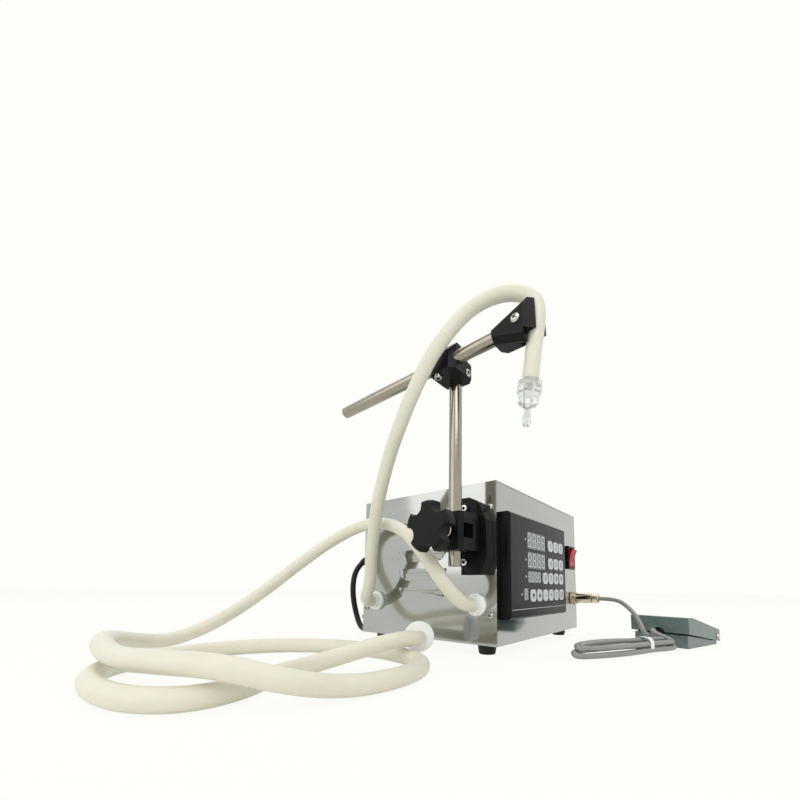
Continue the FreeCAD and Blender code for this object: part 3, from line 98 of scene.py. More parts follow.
SUCTION_ROUTE = [
    (-123, -69, 47.5),
    (-133, -69, 47.5),
    (-146, -68, 53),
    (-159, -65, 64),
    (-166, -57, 79),
    (-164, -40, 97.5),
    (-154, -13, 116),
    (-141, 23, 130.5),
    (-136, 67, 135.5),
    (-150, 108, 117.5),
    (-178, 131.5, 88),
    (-208, 140, 61),
    (-236, 151, 37),
    (-264, 160, 19),
    (-294, 162, 10),
    (-324, 149, 16),
    (-347, 118, 23),
    (-358, 74, 23),
    (-359, 26, 20),
    (-353, -14, 23),
    (-335, -54, 23),
    (-309, -77, 13),
    (-278, -86, 7),
    (-245, -91, 6.8),
    (-211, -84, 6.9),
    (-190, -57, 6.8),
    (-183, -13, 6.9),
    (-191, 38, 6.8),
    (-217, 80, 6.9),
    (-256, 103, 6.8),
    (-298, 105, 6.9),
    (-338, 95, 6.8),
    (-363, 66, 6.9),
    (-371, 23, 6.8),
    (-366, -17, 6.9),
    (-347, -42, 6.8),
    (-319, -42, 6.9),
    (-291, -24, 6.8),
    (-260, -17, 7),
    (-233, -28, 13),
    (-207, -44, 21),
    (-187, -52, 22),
    (-175.3, -48.7, 19),
    (-165.5, -40.3, 19),
]

CABLE_ROUTE = [
    (93.6, -126, 50.7),
    (93.6, -138, 50.7),
    (90, -151, 48.5),
    (81, -161, 42.5),
    (70, -171, 34),
    (58, -179, 23),
    (46, -184, 14),
]

TAIL_ROUTE = [
    (36, -192, 19),
    (48, -192.5, 20),
    (57, -191, 14.5),
    (66, -191.03, 8.8),
    (74.15, -193.7, 8.8),
]

MAINS_ROUTE = [
    (-80, 103.3, 104),
    (-81, 113, 103),
    (-88, 122, 97),
    (-99, 125, 84),
    (-104, 124, 66),
    (-103, 123, 46),
    (-96, 124, 26),
    (-84, 130, 11),
    (-67, 141, 4.5),
]

# The hank in its own frame: each turn's left and right ends, its widths either side, its height.
HANK_PLACE = Matrix.Translation((-76, -146, 0)) @ Matrix.Rotation(math.radians(-26.5), 4, "Z")
HANK_TURNS = [
    (2, 138, 15, -6, 3),
    (-1, 144, 12, -10, 3.5),
    (5, 136, 19, -3, 8.5),
    (8, 142, 8, -8, 9.5),
]
HANK_STEPS = 14
HANK_WAIST = 98
WAIST_REACH = 34
WAIST_SHARE = 0.35

# How much higher the far side of a turn lies than the near side.
HANK_LIFT = 2.6

# The hank's tie: where it stands, its turn, and its half sizes, corner, width and thickness.
TIE_PLACE = (HANK_WAIST, 1.6, 7.9)
TIE_TURN = 63.5
TIE_BAND = (8.4, 7.4, 5, 5, 0.4)

# The mains lead's coil: its middle, and each turn's radius and height.
COIL_MIDDLE = (0, 155)
COIL_TURNS = [(41.9, 3.6), (34.7, 3.6), (34.7, 10.8), (41.9, 10.8), (34.7, 18), (41.9, 18)]
COIL_STEPS = 16
COIL_CHANGE = 4

# The coil's ties: their bearings from its middle, their radius and height, and their band.
COIL_TIE_BEARINGS = (60, 195)
COIL_TIE_PLACE = (38.3, 10.9)
COIL_TIE_BAND = (7.6, 10.8, 3.4, 6, 0.5)

# The mains lead's strain relief: length, ribs, radius at its root, taper and depth of a rib.
SLEEVE_LENGTH = 26
SLEEVE_STEPS = 22
SLEEVE_ROOT = 5.4
SLEEVE_TAPER = 1.5
SLEEVE_RIB = 0.35
SLEEVE_SIDES = 28

# The delivery hose's stretches: where each ends as a share of the length, and a share near the end
# of the last one, which is worked out but not used.
HOSE_SHARES = [0.0, 0.375, 0.555, 0.74, 1.0]
HOLDER_SHARE = 0.84

# Panel: display windows as left, right, middle height, height and digits, and where the keys are.
WINDOWS = [
    (-67, -18.5, 112.6, 18, 4),
    (-66.6, -18.9, 92, 17.6, 4),
    (-66.2, -31.6, 74.9, 12.4, 4),
    (-76.4, -64.8, 57.4, 12.4, 1),
]
LENS_FRONT = -99.1
FILM_FRONT = -99.5
KEY_FRONT = -100.4
KEY_RIGHT = 27.2
KEY_PITCH = 16.6
ROW_HEIGHTS = [111, 91, 74.3, 56]
ROW_MARKS = ["123", "456", "0789", "da-+IO"]

MARK_DEPTH = 0.03
ARROW_RADIUS = 3.6
POINTER_RADIUS = 1.7
POINTER_GAP = 5

# Digits: a stroke as a share of the height, the widest digit as shares of cell and height, and
# where a digit's middle and its point lie.
STROKE_SHARE = 0.1
DIGIT_IN_CELL = 0.56
DIGIT_IN_HEIGHT = 0.62
DIGIT_MIDDLE = 0.46
POINT_AWAY = 1.7
DIGIT_RELIEF = 0.1

# The film's printed rule: its middle, width and height.
RULE_PLACE = (-30.5, 43)
RULE_SIZE = (145, 0.5)

# The power switch's pivot, the lean of its rocker, and where the marks on its two ends lie.
ROCKER_PIVOT = (92.5, -90.5, 104.8)
ROCKER_LEAN = 100
SWITCH_MARKS = [("I", 7.9, 9.5), ("O", -7.9, -9.5)]
SWITCH_FACE = 3.98

# Painted shade in the screw recesses, as dark crosses and hex discs: heads of the case's side
# screws, the stand block's, and the crosshead's.
CASE_SCREWS = (116.85, 83.5)
CASE_SCREW_HEIGHTS = (38, 140)
BLOCK_SCREWS = (-123.3, -60)
BLOCK_SCREW_HEIGHTS = (87.5, 139.5)
HOLDER_SCREW = (-174.5, -138.2, 272.2)
SOCKET_RADIUS = 1.65
SOCKET_DEPTH = 0.3

# The knob's ring: the middle of its circle, and the radii of circle and section.
KNOB_MIDDLE = (-165.05, -66, 113)
RING_RADIUS = 6.75
RING_SECTION = 0.95

# The mains plug's pins: half their spacing, middle, radius, length and tip.
PIN_SPREAD = 9.5
PIN_MIDDLE = (91.35, 155, 15)
PIN_RADIUS = 2.36
PIN_LENGTH = 19.6
PIN_TIP = 101

PEDAL_PLACE = Matrix.Translation(Vector((64, -223, 0)) * MM) @ Matrix.Rotation(
    math.radians(-18), 4, "Z"
)

# Dark strip of painted shade in the pedal's gap: the outline of a side, where each side starts, and
# their thickness.
STRIP_OUTLINE = ((5, 12.9), (74, 3.2), (74, 8.4), (5, 19.6))
STRIP_STARTS = (5.1, 55.4)
STRIP_THICK = 1.5

# The lamps: name, place and side in metres, and power in watts.
LAMPS = [
    ("key_lamp", (-1.2, -1.3, 1.6), 1.4, 13),
    ("fill_lamp", (-1.8, 0.6, 0.9), 1.6, 7),
    ("top_lamp", (0.2, 0.2, 2.0), 1.8, 12),
]
LAMP_TARGET = (0, 0, 0.1)
FLOOR_SIDE = 6
PAPER = "#FEFFFA"


def colour(text):
    """A scene colour from an sRGB hex code."""
    levels = [int(text[start : start + 2], 16) / 255 for start in (1, 3, 5)]
    linear = [v / 12.92 if v <= 0.04045 else ((v + 0.055) / 1.055) ** 2.4 for v in levels]
    return (*linear, 1)


def facing(across, along, up, *turns):
    """Where a mark lies: at a point in millimetres, turned by (degrees, axis) pairs in order."""
    place = Matrix.Translation(Vector((across, along, up)) * MM)
    for degrees, axis in turns:
        place = place @ Matrix.Rotation(math.radians(degrees), 4, axis)
    return place


class FILLER_PG_finishes(bpy.types.PropertyGroup):
    """Colours of the finishes that a user would change."""

    steel: FloatVectorProperty(
        name="Case",
        description="Polished sheet steel",
        subtype="COLOR",
        size=4,
        default=colour("#ADAFAD"),
    )
    hose: FloatVectorProperty(
        name="Hoses",
        description="Translucent silicone",
        subtype="COLOR",
        size=4,
        default=colour("#DCD8C6"),
    )
    film: FloatVectorProperty(
        name="Panel film",
        description="Printed polyester",
        subtype="COLOR",
        size=4,
        default=colour("#191C20"),
    )
    rocker: FloatVectorProperty(
        name="Rocker",
        description="Rocker of the power switch",
        subtype="COLOR",
        size=4,
        default=colour("#B00713"),
    )
    pedal: FloatVectorProperty(
        name="Pedal",
        description="Hammered enamel",
        subtype="COLOR",
        size=4,
        default=colour("#60706D"),
    )
    cable: FloatVectorProperty(
        name="Pedal cable",
        description="Grey PVC",
        subtype="COLOR",
        size=4,
        default=colour("#8A8B87"),
    )


class FILLER_PG_cords(bpy.types.PropertyGroup):
    """Sizes of the hoses and cables."""

    hose_radius: FloatProperty(
        name="Hose radius",
        description="Outer radius of both hoses",
        unit="LENGTH",
        default=6.5 * MM,
    )
    cable_radius: FloatProperty(
        name="Pedal cable radius",
        description="Outer radius of the pedal's cable",
        unit="LENGTH",
        default=2.5 * MM,
    )
    mains_radius: FloatProperty(
        name="Mains lead radius",
        description="Outer radius of the mains lead",
        unit="LENGTH",
        default=3.5 * MM,
    )
    sides: IntProperty(name="Sides", description="Sides of a hose's section", min=12, default=40)


class FILLER_PG_prints(bpy.types.PropertyGroup):
    """Sizes of the printed and raised marks."""

    mark_size: FloatProperty(
        name="Key mark",
        description="Height of the letters on the keys",
        unit="LENGTH",
        default=9 * MM,
    )
    switch_size: FloatProperty(
        name="Switch mark",
        description="Height of the marks on the rocker",
        unit="LENGTH",
        default=4.6 * MM,
    )
    relief: FloatProperty(
        name="Relief",
        description="Half the thickness of a mark",
        unit="LENGTH",
        default=0.06 * MM,
    )
    digit_share: FloatProperty(
        name="Digit height",
        description="Share of its window that a digit fills",
        min=0.3,
        max=0.95,
        default=0.72,
    )


class FILLER_PG_stage(bpy.types.PropertyGroup):
    """Levels of the plain studio light."""

    world: FloatProperty(
        name="World",
        description="Strength of the light from all round",
        default=0.78,
    )
    lamps: FloatProperty(
        name="Lamps",
        description="Factor on the power of the three soft lamps",
        default=1.0,
    )
    floor: FloatProperty(
        name="White floor",
        description="Share of plain white that the eye sees in the floor",
        max=1.0,
        default=0.92,
    )


def add_node(tree, kind, inputs=None, **settings):
    """Adds a node, sets its properties, and fills its inputs with values or linked sockets."""
    made = tree.nodes.new(kind)
    for name, value in settings.items():
        setattr(made, name, value)
    for name, value in (inputs or {}).items():
        if isinstance(value, bpy.types.NodeSocket):
            tree.links.new(value, made.inputs[name])
        else:
            made.inputs[name].default_value = value
    return made


def surface(
    name,
    base,
    roughness,
    metallic=0.0,
    shade=0.06,
    grain=0.0,
    grain_mm=0.5,
    patch_mm=30,
    stretch=(1, 1, 1),
    **extra
):
    """A real surface: colour that varies in patches, uneven roughness, and fine relief."""
    made = bpy.data.materials.new(name)
    made.use_nodes = True
    tree = made.node_tree
    shader = tree.nodes["Principled BSDF"]
    place = add_node(tree, "ShaderNodeTexCoord")
    scaled = add_node(
        tree, "ShaderNodeMapping", {"Vector": place.outputs["Object"], "Scale": stretch}
    )
    patches = add_node(
        tree,
        "ShaderNodeTexNoise",
        {
            "Vector": scaled.outputs["Vector"],
            "Scale": 1000 / patch_mm,
            "Detail": 5.0,
            "Roughness": 0.6,
        },
    )
    tones = add_node(tree, "ShaderNodeValToRGB", {"Fac": patches.outputs["Fac"]})
    for element, factor, at in zip(tones.color_ramp.elements, (1 - shade, 1 + shade), (0.3, 0.7)):
        element.color = (*[min(1, channel * factor) for channel in base[:3]], 1)
        element.position = at
    tree.links.new(tones.outputs["Color"], shader.inputs["Base Color"])
    rough = add_node(
        tree,
        "ShaderNodeMapRange",
        {
            "Value": patches.outputs["Fac"],
            "From Min": 0.3,
            "From Max": 0.7,
            "To Min": roughness * 0.8,
            "To Max": min(1, roughness * 1.2),
        },
    )
    tree.links.new(rough.outputs["Result"], shader.inputs["Roughness"])
    shader.inputs["Metallic"].default_value = metallic
    for socket, value in extra.items():
        shader.inputs[socket.replace("_", " ")].default_value = value
    if grain:
        fine = add_node(
            tree,
            "ShaderNodeTexNoise",
            {"Vector": scaled.outputs["Vector"], "Scale": 1000 / grain_mm, "Detail": 3.0},
        )
        relief = add_node(
            tree,
            "ShaderNodeBump",
            {"Height": fine.outputs["Fac"], "Strength": grain, "Distance": 0.1 * MM},
        )
        tree.links.new(relief.outputs["Normal"], shader.inputs["Normal"])
    return made


# Each slot of the record, and the material that finishes it.
MATERIAL_NAMES = {
    "steel": "mirror_polished_steel",
    "screw": "turned_screw_steel",
    "foot_rubber": "moulded_rubber",
    "black_abs": "moulded_black_abs",
    "film": "printed_polyester_film",
    "lens": "smoked_acrylic_lens",
    "key_grey": "moulded_silicone_keys",
    "red_plastic": "moulded_red_polycarbonate",
    "nickel": "nickel_plated_brass",
    "white_plastic": "moulded_white_nylon",
    "stand_plastic": "glass_filled_black_nylon",
    "rod_steel": "drawn_steel_rod",
    "clear_plastic": "turned_clear_acrylic",
    "silicone": "extruded_silicone",
    "board": "solder_masked_board",
    "pump_alloy": "cast_pump_alloy",
    "gear_steel": "ground_gear_steel",
    "motor_paint": "black_motor_enamel",
    "supply_zinc": "zinc_plated_sheet",
    "pedal_paint": "hammered_enamel",
    "grey_cable": "extruded_grey_pvc",
    "black_cable": "extruded_black_pvc",
}


def finish_of(slot):
    """The material of a record slot."""
    return bpy.data.materials[MATERIAL_NAMES[slot]]


def make_piece(name, mesh, slot, body=None, sharp=35):
    """Turns a finished bmesh into an object that rides on a body and takes a slot's finish."""
    bmesh.ops.remove_doubles(mesh, verts=mesh.verts, dist=0.001 * MM)
    bmesh.ops.recalc_face_normals(mesh, faces=mesh.faces)
    for face in mesh.faces:
        face.smooth = True
    for edge in mesh.edges:
        edge.smooth = len(edge.link_faces) != 2 or edge.calc_face_angle(0) < math.radians(sharp)
    data = bpy.data.meshes.new(name)
    mesh.to_mesh(data)
    mesh.free()
    data.materials.append(finish_of(slot))
    made = bpy.data.objects.new(name, data)
    bpy.context.scene.collection.objects.link(made)
    if body:
        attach(made, body)
    return made


def make_spline(name, points, radius, slot, body=None):
    """A round cord whose centreline is a smooth spline through its route."""
    data = bpy.data.curves.new(name, "CURVE")
    data.dimensions = "3D"
    spline = data.splines.new("NURBS")
    spline.points.add(len(points) - 1)
    for place, point in zip(spline.points, points):
        place.co = (*(Vector(point) * MM), 1)
    spline.order_u = 3
    spline.use_endpoint_u = True
    spline.resolution_u = 8
    data.bevel_depth = radius
    data.bevel_resolution = 8
    data.use_fill_caps = True
    data.materials.append(finish_of(slot))
    made = bpy.data.objects.new(name, data)
    bpy.context.scene.collection.objects.link(made)
    if body:
        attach(made, body)
    return made


def line_of(points):
    """Points along the smooth line of a route, read from its spline."""
    guide = make_spline("guide_line", points, 0, "silicone")
    mesh = bpy.data.meshes.new_from_object(guide)
    line = [vertex.co.copy() for vertex in mesh.vertices]
    bpy.data.meshes.remove(mesh)
    data = guide.data
    bpy.data.objects.remove(guide)
    bpy.data.curves.remove(data)
    return line


def length_of(line):
    return sum((b - a).length for a, b in zip(line, line[1:]))


def frames_along(line):
    """A frame at each point of a line, with Z ahead and the others turned as little as possible."""
    frames = []
    across = None
    for index, here in enumerate(line):
        ahead = (line[min(index + 1, len(line) - 1)] - line[max(index - 1, 0)]).normalized()
        across = across or ahead.orthogonal().normalized()
        across = (across - ahead * across.dot(ahead)).normalized()
        turn = Matrix((across, ahead.cross(across), ahead)).transposed()
        frames.append(Matrix.Translation(here) @ turn.to_4x4())
    return frames


def sweep(mesh, frames, radii, sides):
    """Extrudes a disc from frame to frame, with a radius for each."""
    rings = [
        place @ Matrix.Diagonal((radius, radius, 1, 1)) for place, radius in zip(frames, radii)
    ]
    bmesh.ops.create_circle(mesh, cap_ends=True, radius=1, segments=sides, matrix=rings[0])
    front = mesh.faces[:]
    for before, after in zip(rings, rings[1:]):
        grown = bmesh.ops.extrude_face_region(mesh, geom=front)["geom"]
        corners = [item for item in grown if isinstance(item, bmesh.types.BMVert)]
        front = [item for item in grown if isinstance(item, bmesh.types.BMFace)]
        bmesh.ops.transform(mesh, matrix=after @ before.inverted(), verts=corners)


def add_block(mesh, place, across, along, up):
    """A block centred on a place, with its three sizes in millimetres."""
    sizes = Matrix.Diagonal((across * MM, along * MM, up * MM, 1))
    bmesh.ops.create_cube(mesh, size=1, matrix=place @ sizes)


def add_letters(mesh, text, height, relief, place):
    """Letters of the built-in font, raised either side of their place and added to a mesh."""
    letters = bpy.data.curves.new("letters", "FONT")
    letters.body = text
    letters.align_x = "CENTER"
    letters.align_y = "CENTER"
    letters.size = height
    letters.extrude = relief
    letters.resolution_u = 4
    guide = bpy.data.objects.new("letters", letters)
    drawn = bpy.data.meshes.new_from_object(guide)
    drawn.transform(place)
    mesh.from_mesh(drawn)
    bpy.data.meshes.remove(drawn)
    bpy.data.objects.remove(guide)
    bpy.data.curves.remove(letters)


def add_band(mesh, place, half_across, half_up, corner, wide, thick):
    """A flat strap round a bundle: a rounded frame drawn along its own normal."""
    start = place @ Matrix.Translation((0, 0, -wide / 2 * MM))
    made = bmesh.ops.create_grid(mesh, x_segments=1, y_segments=1, size=1)
    bmesh.ops.scale(mesh, vec=(half_across * MM, half_up * MM, 1), verts=made["verts"])
    bmesh.ops.bevel(
        mesh,
        geom=made["verts"],
        offset=corner * MM,
        segments=6,
        profile=0.5,
        affect="VERTICES",
        material=-1,
    )
    face = mesh.faces[:][-1]
    loop = face.edges[:]
    bmesh.ops.transform(mesh, matrix=start, verts=face.verts[:])
    grown = bmesh.ops.extrude_edge_only(mesh, edges=loop)["geom"]
    corners = [item for item in grown if isinstance(item, bmesh.types.BMVert)]
    way = place.to_3x3() @ Vector((0, 0, wide * MM))
    bmesh.ops.translate(mesh, vec=way, verts=corners)
    bmesh.ops.delete(mesh, geom=[face], context="FACES_ONLY")
    bmesh.ops.recalc_face_normals(mesh, faces=mesh.faces)
    bmesh.ops.solidify(mesh, geom=mesh.faces[:], thickness=-thick * MM)


class FILLER_OT_materials(bpy.types.Operator):
    """Makes every finish of the machine"""

    bl_idname = "filler.materials"
    bl_label = "Finishes"

    def execute(self, context):
        own = context.scene.filler_finishes
        names = MATERIAL_NAMES
        # Bright sheet steel: near mirror, with a faint waviness from rolling and handling.
        surface(names["steel"], own.steel, 0.085, 1.0, 0.03, 0.03, 1.5, 60, (1, 1, 5))
        # Turned and plated screws: bright, with worn edges.
        surface(names["screw"], colour("#BDBCB6"), 0.2, 1.0, 0.08, 0.05, 0.3, 4)
        # Rubber: dull and slightly dusty.
        surface(
            names["foot_rubber"], colour("#131416"), 0.62, 0, 0.2, 0.2, 0.5, 8,
            Specular_IOR_Level=0.3,
        )
        # Moulded ABS: a fine eroded skin that scatters its gloss.
        surface(
            names["black_abs"], colour("#0A0B0D"), 0.36, 0, 0.15, 0.12, 0.4, 20,
            Specular_IOR_Level=0.14,
        )
        # Back-printed polyester film: even, with a satin front.
        surface(names["film"], own.film, 0.3, 0, 0.05, 0.05, 0.3, 12, Specular_IOR_Level=0.14)
        # Smoked window: grey behind its unlit digits.
        surface(
            names["lens"], colour("#7C8083"), 0.3, 0, 0.05, 0.02, 0.5, 10, Specular_IOR_Level=0.15,
        )
        surface(names["key_grey"], colour("#CBCECE"), 0.5, 0, 0.04, 0.08, 0.3, 5)
        surface(
            names["red_plastic"], own.rocker, 0.3, 0, 0.08, 0.02, 0.5, 8, Specular_IOR_Level=0.15,
        )
        # Nickel over brass: warm and bright.
        surface(names["nickel"], colour("#C6BAA4"), 0.12, 1.0, 0.14, 0.05, 0.5, 3)
        surface(
            names["white_plastic"], colour("#F2F2EE"), 0.4, 0, 0.03, 0.05, 0.6, 10,
            Subsurface_Weight=0.1,
        )
        # Glass-filled nylon: a mottled, slightly rough skin.
        surface(
            names["stand_plastic"], colour("#0C0D0F"), 0.42, 0, 0.22, 0.25, 0.35, 12,
            Specular_IOR_Level=0.17,
        )
        # Drawn rod: long streaks along its axis.
        surface(names["rod_steel"], colour("#9A958A"), 0.14, 1.0, 0.1, 0.08, 0.5, 20, (8, 8, 1))
        surface(
            names["clear_plastic"],
            colour("#F4F6F4"),
            0.12,
            0,
            0.01,
            0.04,
            1.5,
            15,
            Transmission_Weight=0.8,
            IOR=1.46,
        )
        # Silicone hose: milky, with a soft skin and light that soaks in.
        surface(
            names["silicone"],
            own.hose,
            0.36,
            0,
            0.03,
            0.06,
            1.2,
            25,
            Subsurface_Weight=0.15,
            Subsurface_Scale=0.003,
            Specular_IOR_Level=0.35,
        )
        surface(names["board"], colour("#1F5A35"), 0.4, 0, 0.1, 0.05, 0.4, 6)
        surface(names["pump_alloy"], colour("#B2B4B6"), 0.45, 1.0, 0.06, 0.2, 0.8, 8)
        surface(names["gear_steel"], colour("#9EA0A2"), 0.28, 1.0, 0.05, 0.1, 0.3, 5)
        surface(names["motor_paint"], colour("#202224"), 0.4, 0, 0.1, 0.1, 0.6, 10)
        surface(names["supply_zinc"], colour("#B9BCBE"), 0.42, 1.0, 0.1, 0.05, 0.6, 12)
        # Hammered enamel: glossy dimples about a millimetre across.
        surface(names["pedal_paint"], own.pedal, 0.3, 0, 0.07, 0.12, 1.1, 14, Coat_Weight=0.3)
        surface(names["grey_cable"], own.cable, 0.4, 0, 0.04, 0.08, 0.6, 12)
        surface(
            names["black_cable"], colour("#0F1011"), 0.38, 0, 0.1, 0.06, 0.6, 12,
            Specular_IOR_Level=0.3,
        )
        return {"FINISHED"}


class FILLER_OT_solids(bpy.types.Operator):
    """Gives every carried-over solid the finish of its slot"""

    bl_idname = "filler.solids"
    bl_label = "Solids"

    def execute(self, context):
        for entry in frame["record"]["subparts"]:
            solid = frame["nodes"][entry["node"]]
            solid.data.materials.clear()
            solid.data.materials.append(finish_of(entry["material_slot"]))
        return {"FINISHED"}


class FILLER_OT_outlet_hose(bpy.types.Operator):
    """Lays the delivery hose in four stretches, each of which reaches across one joint of the stand
    """

    bl_idname = "filler.outlet_hose"
    bl_label = "Delivery hose"

    def execute(self, context):
        own = context.scene.filler_cords
        line = line_of(OUTLET_ROUTE)
        frames = frames_along(line)
        whole = length_of(line)
        gone = [length_of(line[: index + 1]) for index in range(len(line))]

        def nearest(share):
            return min(range(len(line)), key=lambda index: abs(gone[index] - share * whole))

        marks = [nearest(share) for share in HOSE_SHARES]
        settled = nearest(HOLDER_SHARE)
        stops = marks[1:-1] + [settled]
        for number, (first, last, stop) in enumerate(zip(marks, marks[1:], stops)):
            stretch = line[first : last + 1]
            mesh = bmesh.new()
            sweep(mesh, frames[first : last + 1], [own.hose_radius] * len(stretch), own.sides)
            made = make_piece("outlet_hose_%d" % (number + 1), mesh, "silicone", sharp=60)
            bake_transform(made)
            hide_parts("outlet_hose")
        return {"FINISHED"}


class FILLER_OT_suction_hose(bpy.types.Operator):
    """Lays the suction hose: up beside the case, twice round on the bench, to its strainer"""

    bl_idname = "filler.suction_hose"
    bl_label = "Suction hose"

    def execute(self, context):
        own = context.scene.filler_cords
        made = make_spline(
            "suction_hose_line", SUCTION_ROUTE, own.hose_radius, "silicone", "machine"
        )
        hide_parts("suction_hose")
        round(length_of(line_of(SUCTION_ROUTE)), 2)
        return {"FINISHED"}


def hank_points():
    """The hank's turns: long loops that narrow where the tie gathers them."""
    points = []
    for left, right, upper, lower, height in HANK_TURNS:
        for step in range(HANK_STEPS):
            turn = 2 * math.pi * (step + 0.5) / HANK_STEPS
            along = (left + right) / 2 + (right - left) / 2 * math.cos(turn)
            waist = WAIST_SHARE + (1 - WAIST_SHARE) * min(1, abs(along - HANK_WAIST) / WAIST_REACH)
            far_side = math.sin(turn) > 0
            reach = upper if far_side else -lower
            spot = HANK_PLACE @ Vector((along, reach * math.sin(turn) * waist, 0))
            points.append((spot.x, spot.y, height + HANK_LIFT * far_side))
    return points


class FILLER_OT_pedal_cable(bpy.types.Operator):
    """Lays the pedal's cable: down from its plug, round the tied hank, and into the pedal"""

    bl_idname = "filler.pedal_cable"
    bl_label = "Pedal cable"

    def execute(self, context):
        own = context.scene.filler_cords
        points = CABLE_ROUTE + hank_points() + TAIL_ROUTE
        made = make_spline(
            "pedal_cable_line", points, own.cable_radius, "grey_cable", "machine"
        )
        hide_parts("pedal_cable", "cable_hank")
        mesh = bmesh.new()
        middle = HANK_PLACE @ Vector(TIE_PLACE)
        add_band(mesh, facing(*middle, (TIE_TURN, "Z"), (90, "X")), *TIE_BAND)
        tie = make_piece("hank_tie", mesh, "white_plastic", "machine")
        round(length_of(line_of(points)), 2)
        return {"FINISHED"}


def coil_points():
    """The mains lead's neat turns, each of which steps to the next over its last quarter."""
    points = []
    nexts = COIL_TURNS[1:] + COIL_TURNS[-1:]
    for (radius, height), (far_radius, far_height) in zip(COIL_TURNS, nexts):
        for step in range(COIL_STEPS):
            share = max(0, (step - COIL_STEPS + COIL_CHANGE) / COIL_CHANGE)
            turn = math.pi + 2 * math.pi * step / COIL_STEPS
            reach = radius + (far_radius - radius) * share
            points.append(
                (
                    COIL_MIDDLE[0] + reach * math.cos(turn),
                    COIL_MIDDLE[1] + reach * math.sin(turn),
                    height + (far_height - height) * share,
                )
            )
    return points


class FILLER_OT_mains_lead(bpy.types.Operator):
    """Lays the mains lead: down behind the case, wound into a tied coil, and out to its plug"""

    bl_idname = "filler.mains_lead"
    bl_label = "Mains lead"

    def execute(self, context):
        own = context.scene.filler_cords
        points = MAINS_ROUTE + coil_points()
        made = make_spline("mains_lead_line", points, own.mains_radius, "black_cable", "machine")
        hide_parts("mains_cord", "mains_coil")
        line = line_of(points)

        # Strain relief: a ribbed sleeve that tapers over the lead's first stretch.
        near = [
            point
            for index, point in enumerate(line)
            if length_of(line[: index + 1]) < SLEEVE_LENGTH * MM
        ]
        steps = range(SLEEVE_STEPS + 1)
        sleeve_line = [point_at(near, step / SLEEVE_STEPS) for step in steps]
        radii = [
            (SLEEVE_ROOT - SLEEVE_TAPER * step / SLEEVE_STEPS + SLEEVE_RIB * (step % 2)) * MM
            for step in steps
        ]
        mesh = bmesh.new()
        sweep(mesh, frames_along(sleeve_line), radii, SLEEVE_SIDES)
        sleeve = make_piece("mains_strain_relief", mesh, "black_cable", "machine", sharp=50)

        mesh = bmesh.new()
        reach, up = COIL_TIE_PLACE
        for degrees in COIL_TIE_BEARINGS:
            turn = math.radians(degrees)
            across = COIL_MIDDLE[0] + reach * math.cos(turn)
            along = COIL_MIDDLE[1] + reach * math.sin(turn)
            place = facing(across, along, up, (degrees, "Z"), (90, "X"))
            add_band(mesh, place, *COIL_TIE_BAND)
        ties = make_piece("coil_ties", mesh, "black_cable", "machine")
        return {"FINISHED"}


def point_at(line, share):
    """The point at a share of a line's length."""
    left = share * length_of(line)
    for before, after in zip(line, line[1:]):
        run = (after - before).length
        if left <= run:
            return before.lerp(after, left / run)
        left -= run
    return line[-1].copy()


class FILLER_OT_digits(bpy.types.Operator):
    """Draws the unlit seven-segment digits in the display windows"""

    bl_idname = "filler.digits"
    bl_label = "Display digits"

    def execute(self, context):
        own = context.scene.filler_prints
        mesh = bmesh.new()
        for left, right, middle, tall, count in WINDOWS:
            cell = (right - left) / count
            high = tall * own.digit_share
            wide = min(cell * DIGIT_IN_CELL, high * DIGIT_IN_HEIGHT)
            stroke = high * STROKE_SHARE
            for number in range(count):
                across = left + cell * (number + DIGIT_MIDDLE)
                for row in (-1, 0, 1):
                    place = facing(across, LENS_FRONT, middle + row * high / 2)
                    add_block(mesh, place, wide - stroke, DIGIT_RELIEF, stroke)
                for side in (-1, 1):
                    for half in (-1, 1):
                        edge = across + side * wide / 2
                        place = facing(edge, LENS_FRONT, middle + half * high / 4)
                        add_block(mesh, place, stroke, DIGIT_RELIEF, high / 2 - stroke)
                point = across + wide / 2 + stroke * POINT_AWAY
                place = facing(point, LENS_FRONT, middle - high / 2)
                add_block(mesh, place, stroke, DIGIT_RELIEF, stroke)
        make_piece("display_digits", mesh, "key_grey", "machine")
        return {"FINISHED"}


class FILLER_OT_key_marks(bpy.types.Operator):
    """Prints a plain number, arrow or sign on each key"""

    bl_idname = "filler.key_marks"
    bl_label = "Key marks"

    def execute(self, context):
        own = context.scene.filler_prints
        for row, (up, marks) in enumerate(zip(ROW_HEIGHTS, ROW_MARKS), start=1):
            for column, mark in enumerate(reversed(marks), start=1):
                across = KEY_RIGHT - KEY_PITCH * (column - 1)
                mesh = bmesh.new()
                if mark in "da":
                    turn = 0 if mark == "a" else 180
                    place = facing(across, KEY_FRONT - MARK_DEPTH, up, (90, "X"), (turn, "Z"))
                    bmesh.ops.create_cone(
                        mesh,
                        cap_ends=True,
                        segments=3,
                        radius1=ARROW_RADIUS * MM,
                        radius2=ARROW_RADIUS * MM,
                        depth=2 * own.relief,
                        matrix=place,
                    )
                else:
                    place = facing(across, KEY_FRONT - MARK_DEPTH, up, (90, "X"))
                    add_letters(mesh, mark, own.mark_size, own.relief, place)
                key = "%d_%d" % (row, column)
                make_piece("key_mark_" + key, mesh, "film", "key_" + key)
        return {"FINISHED"}


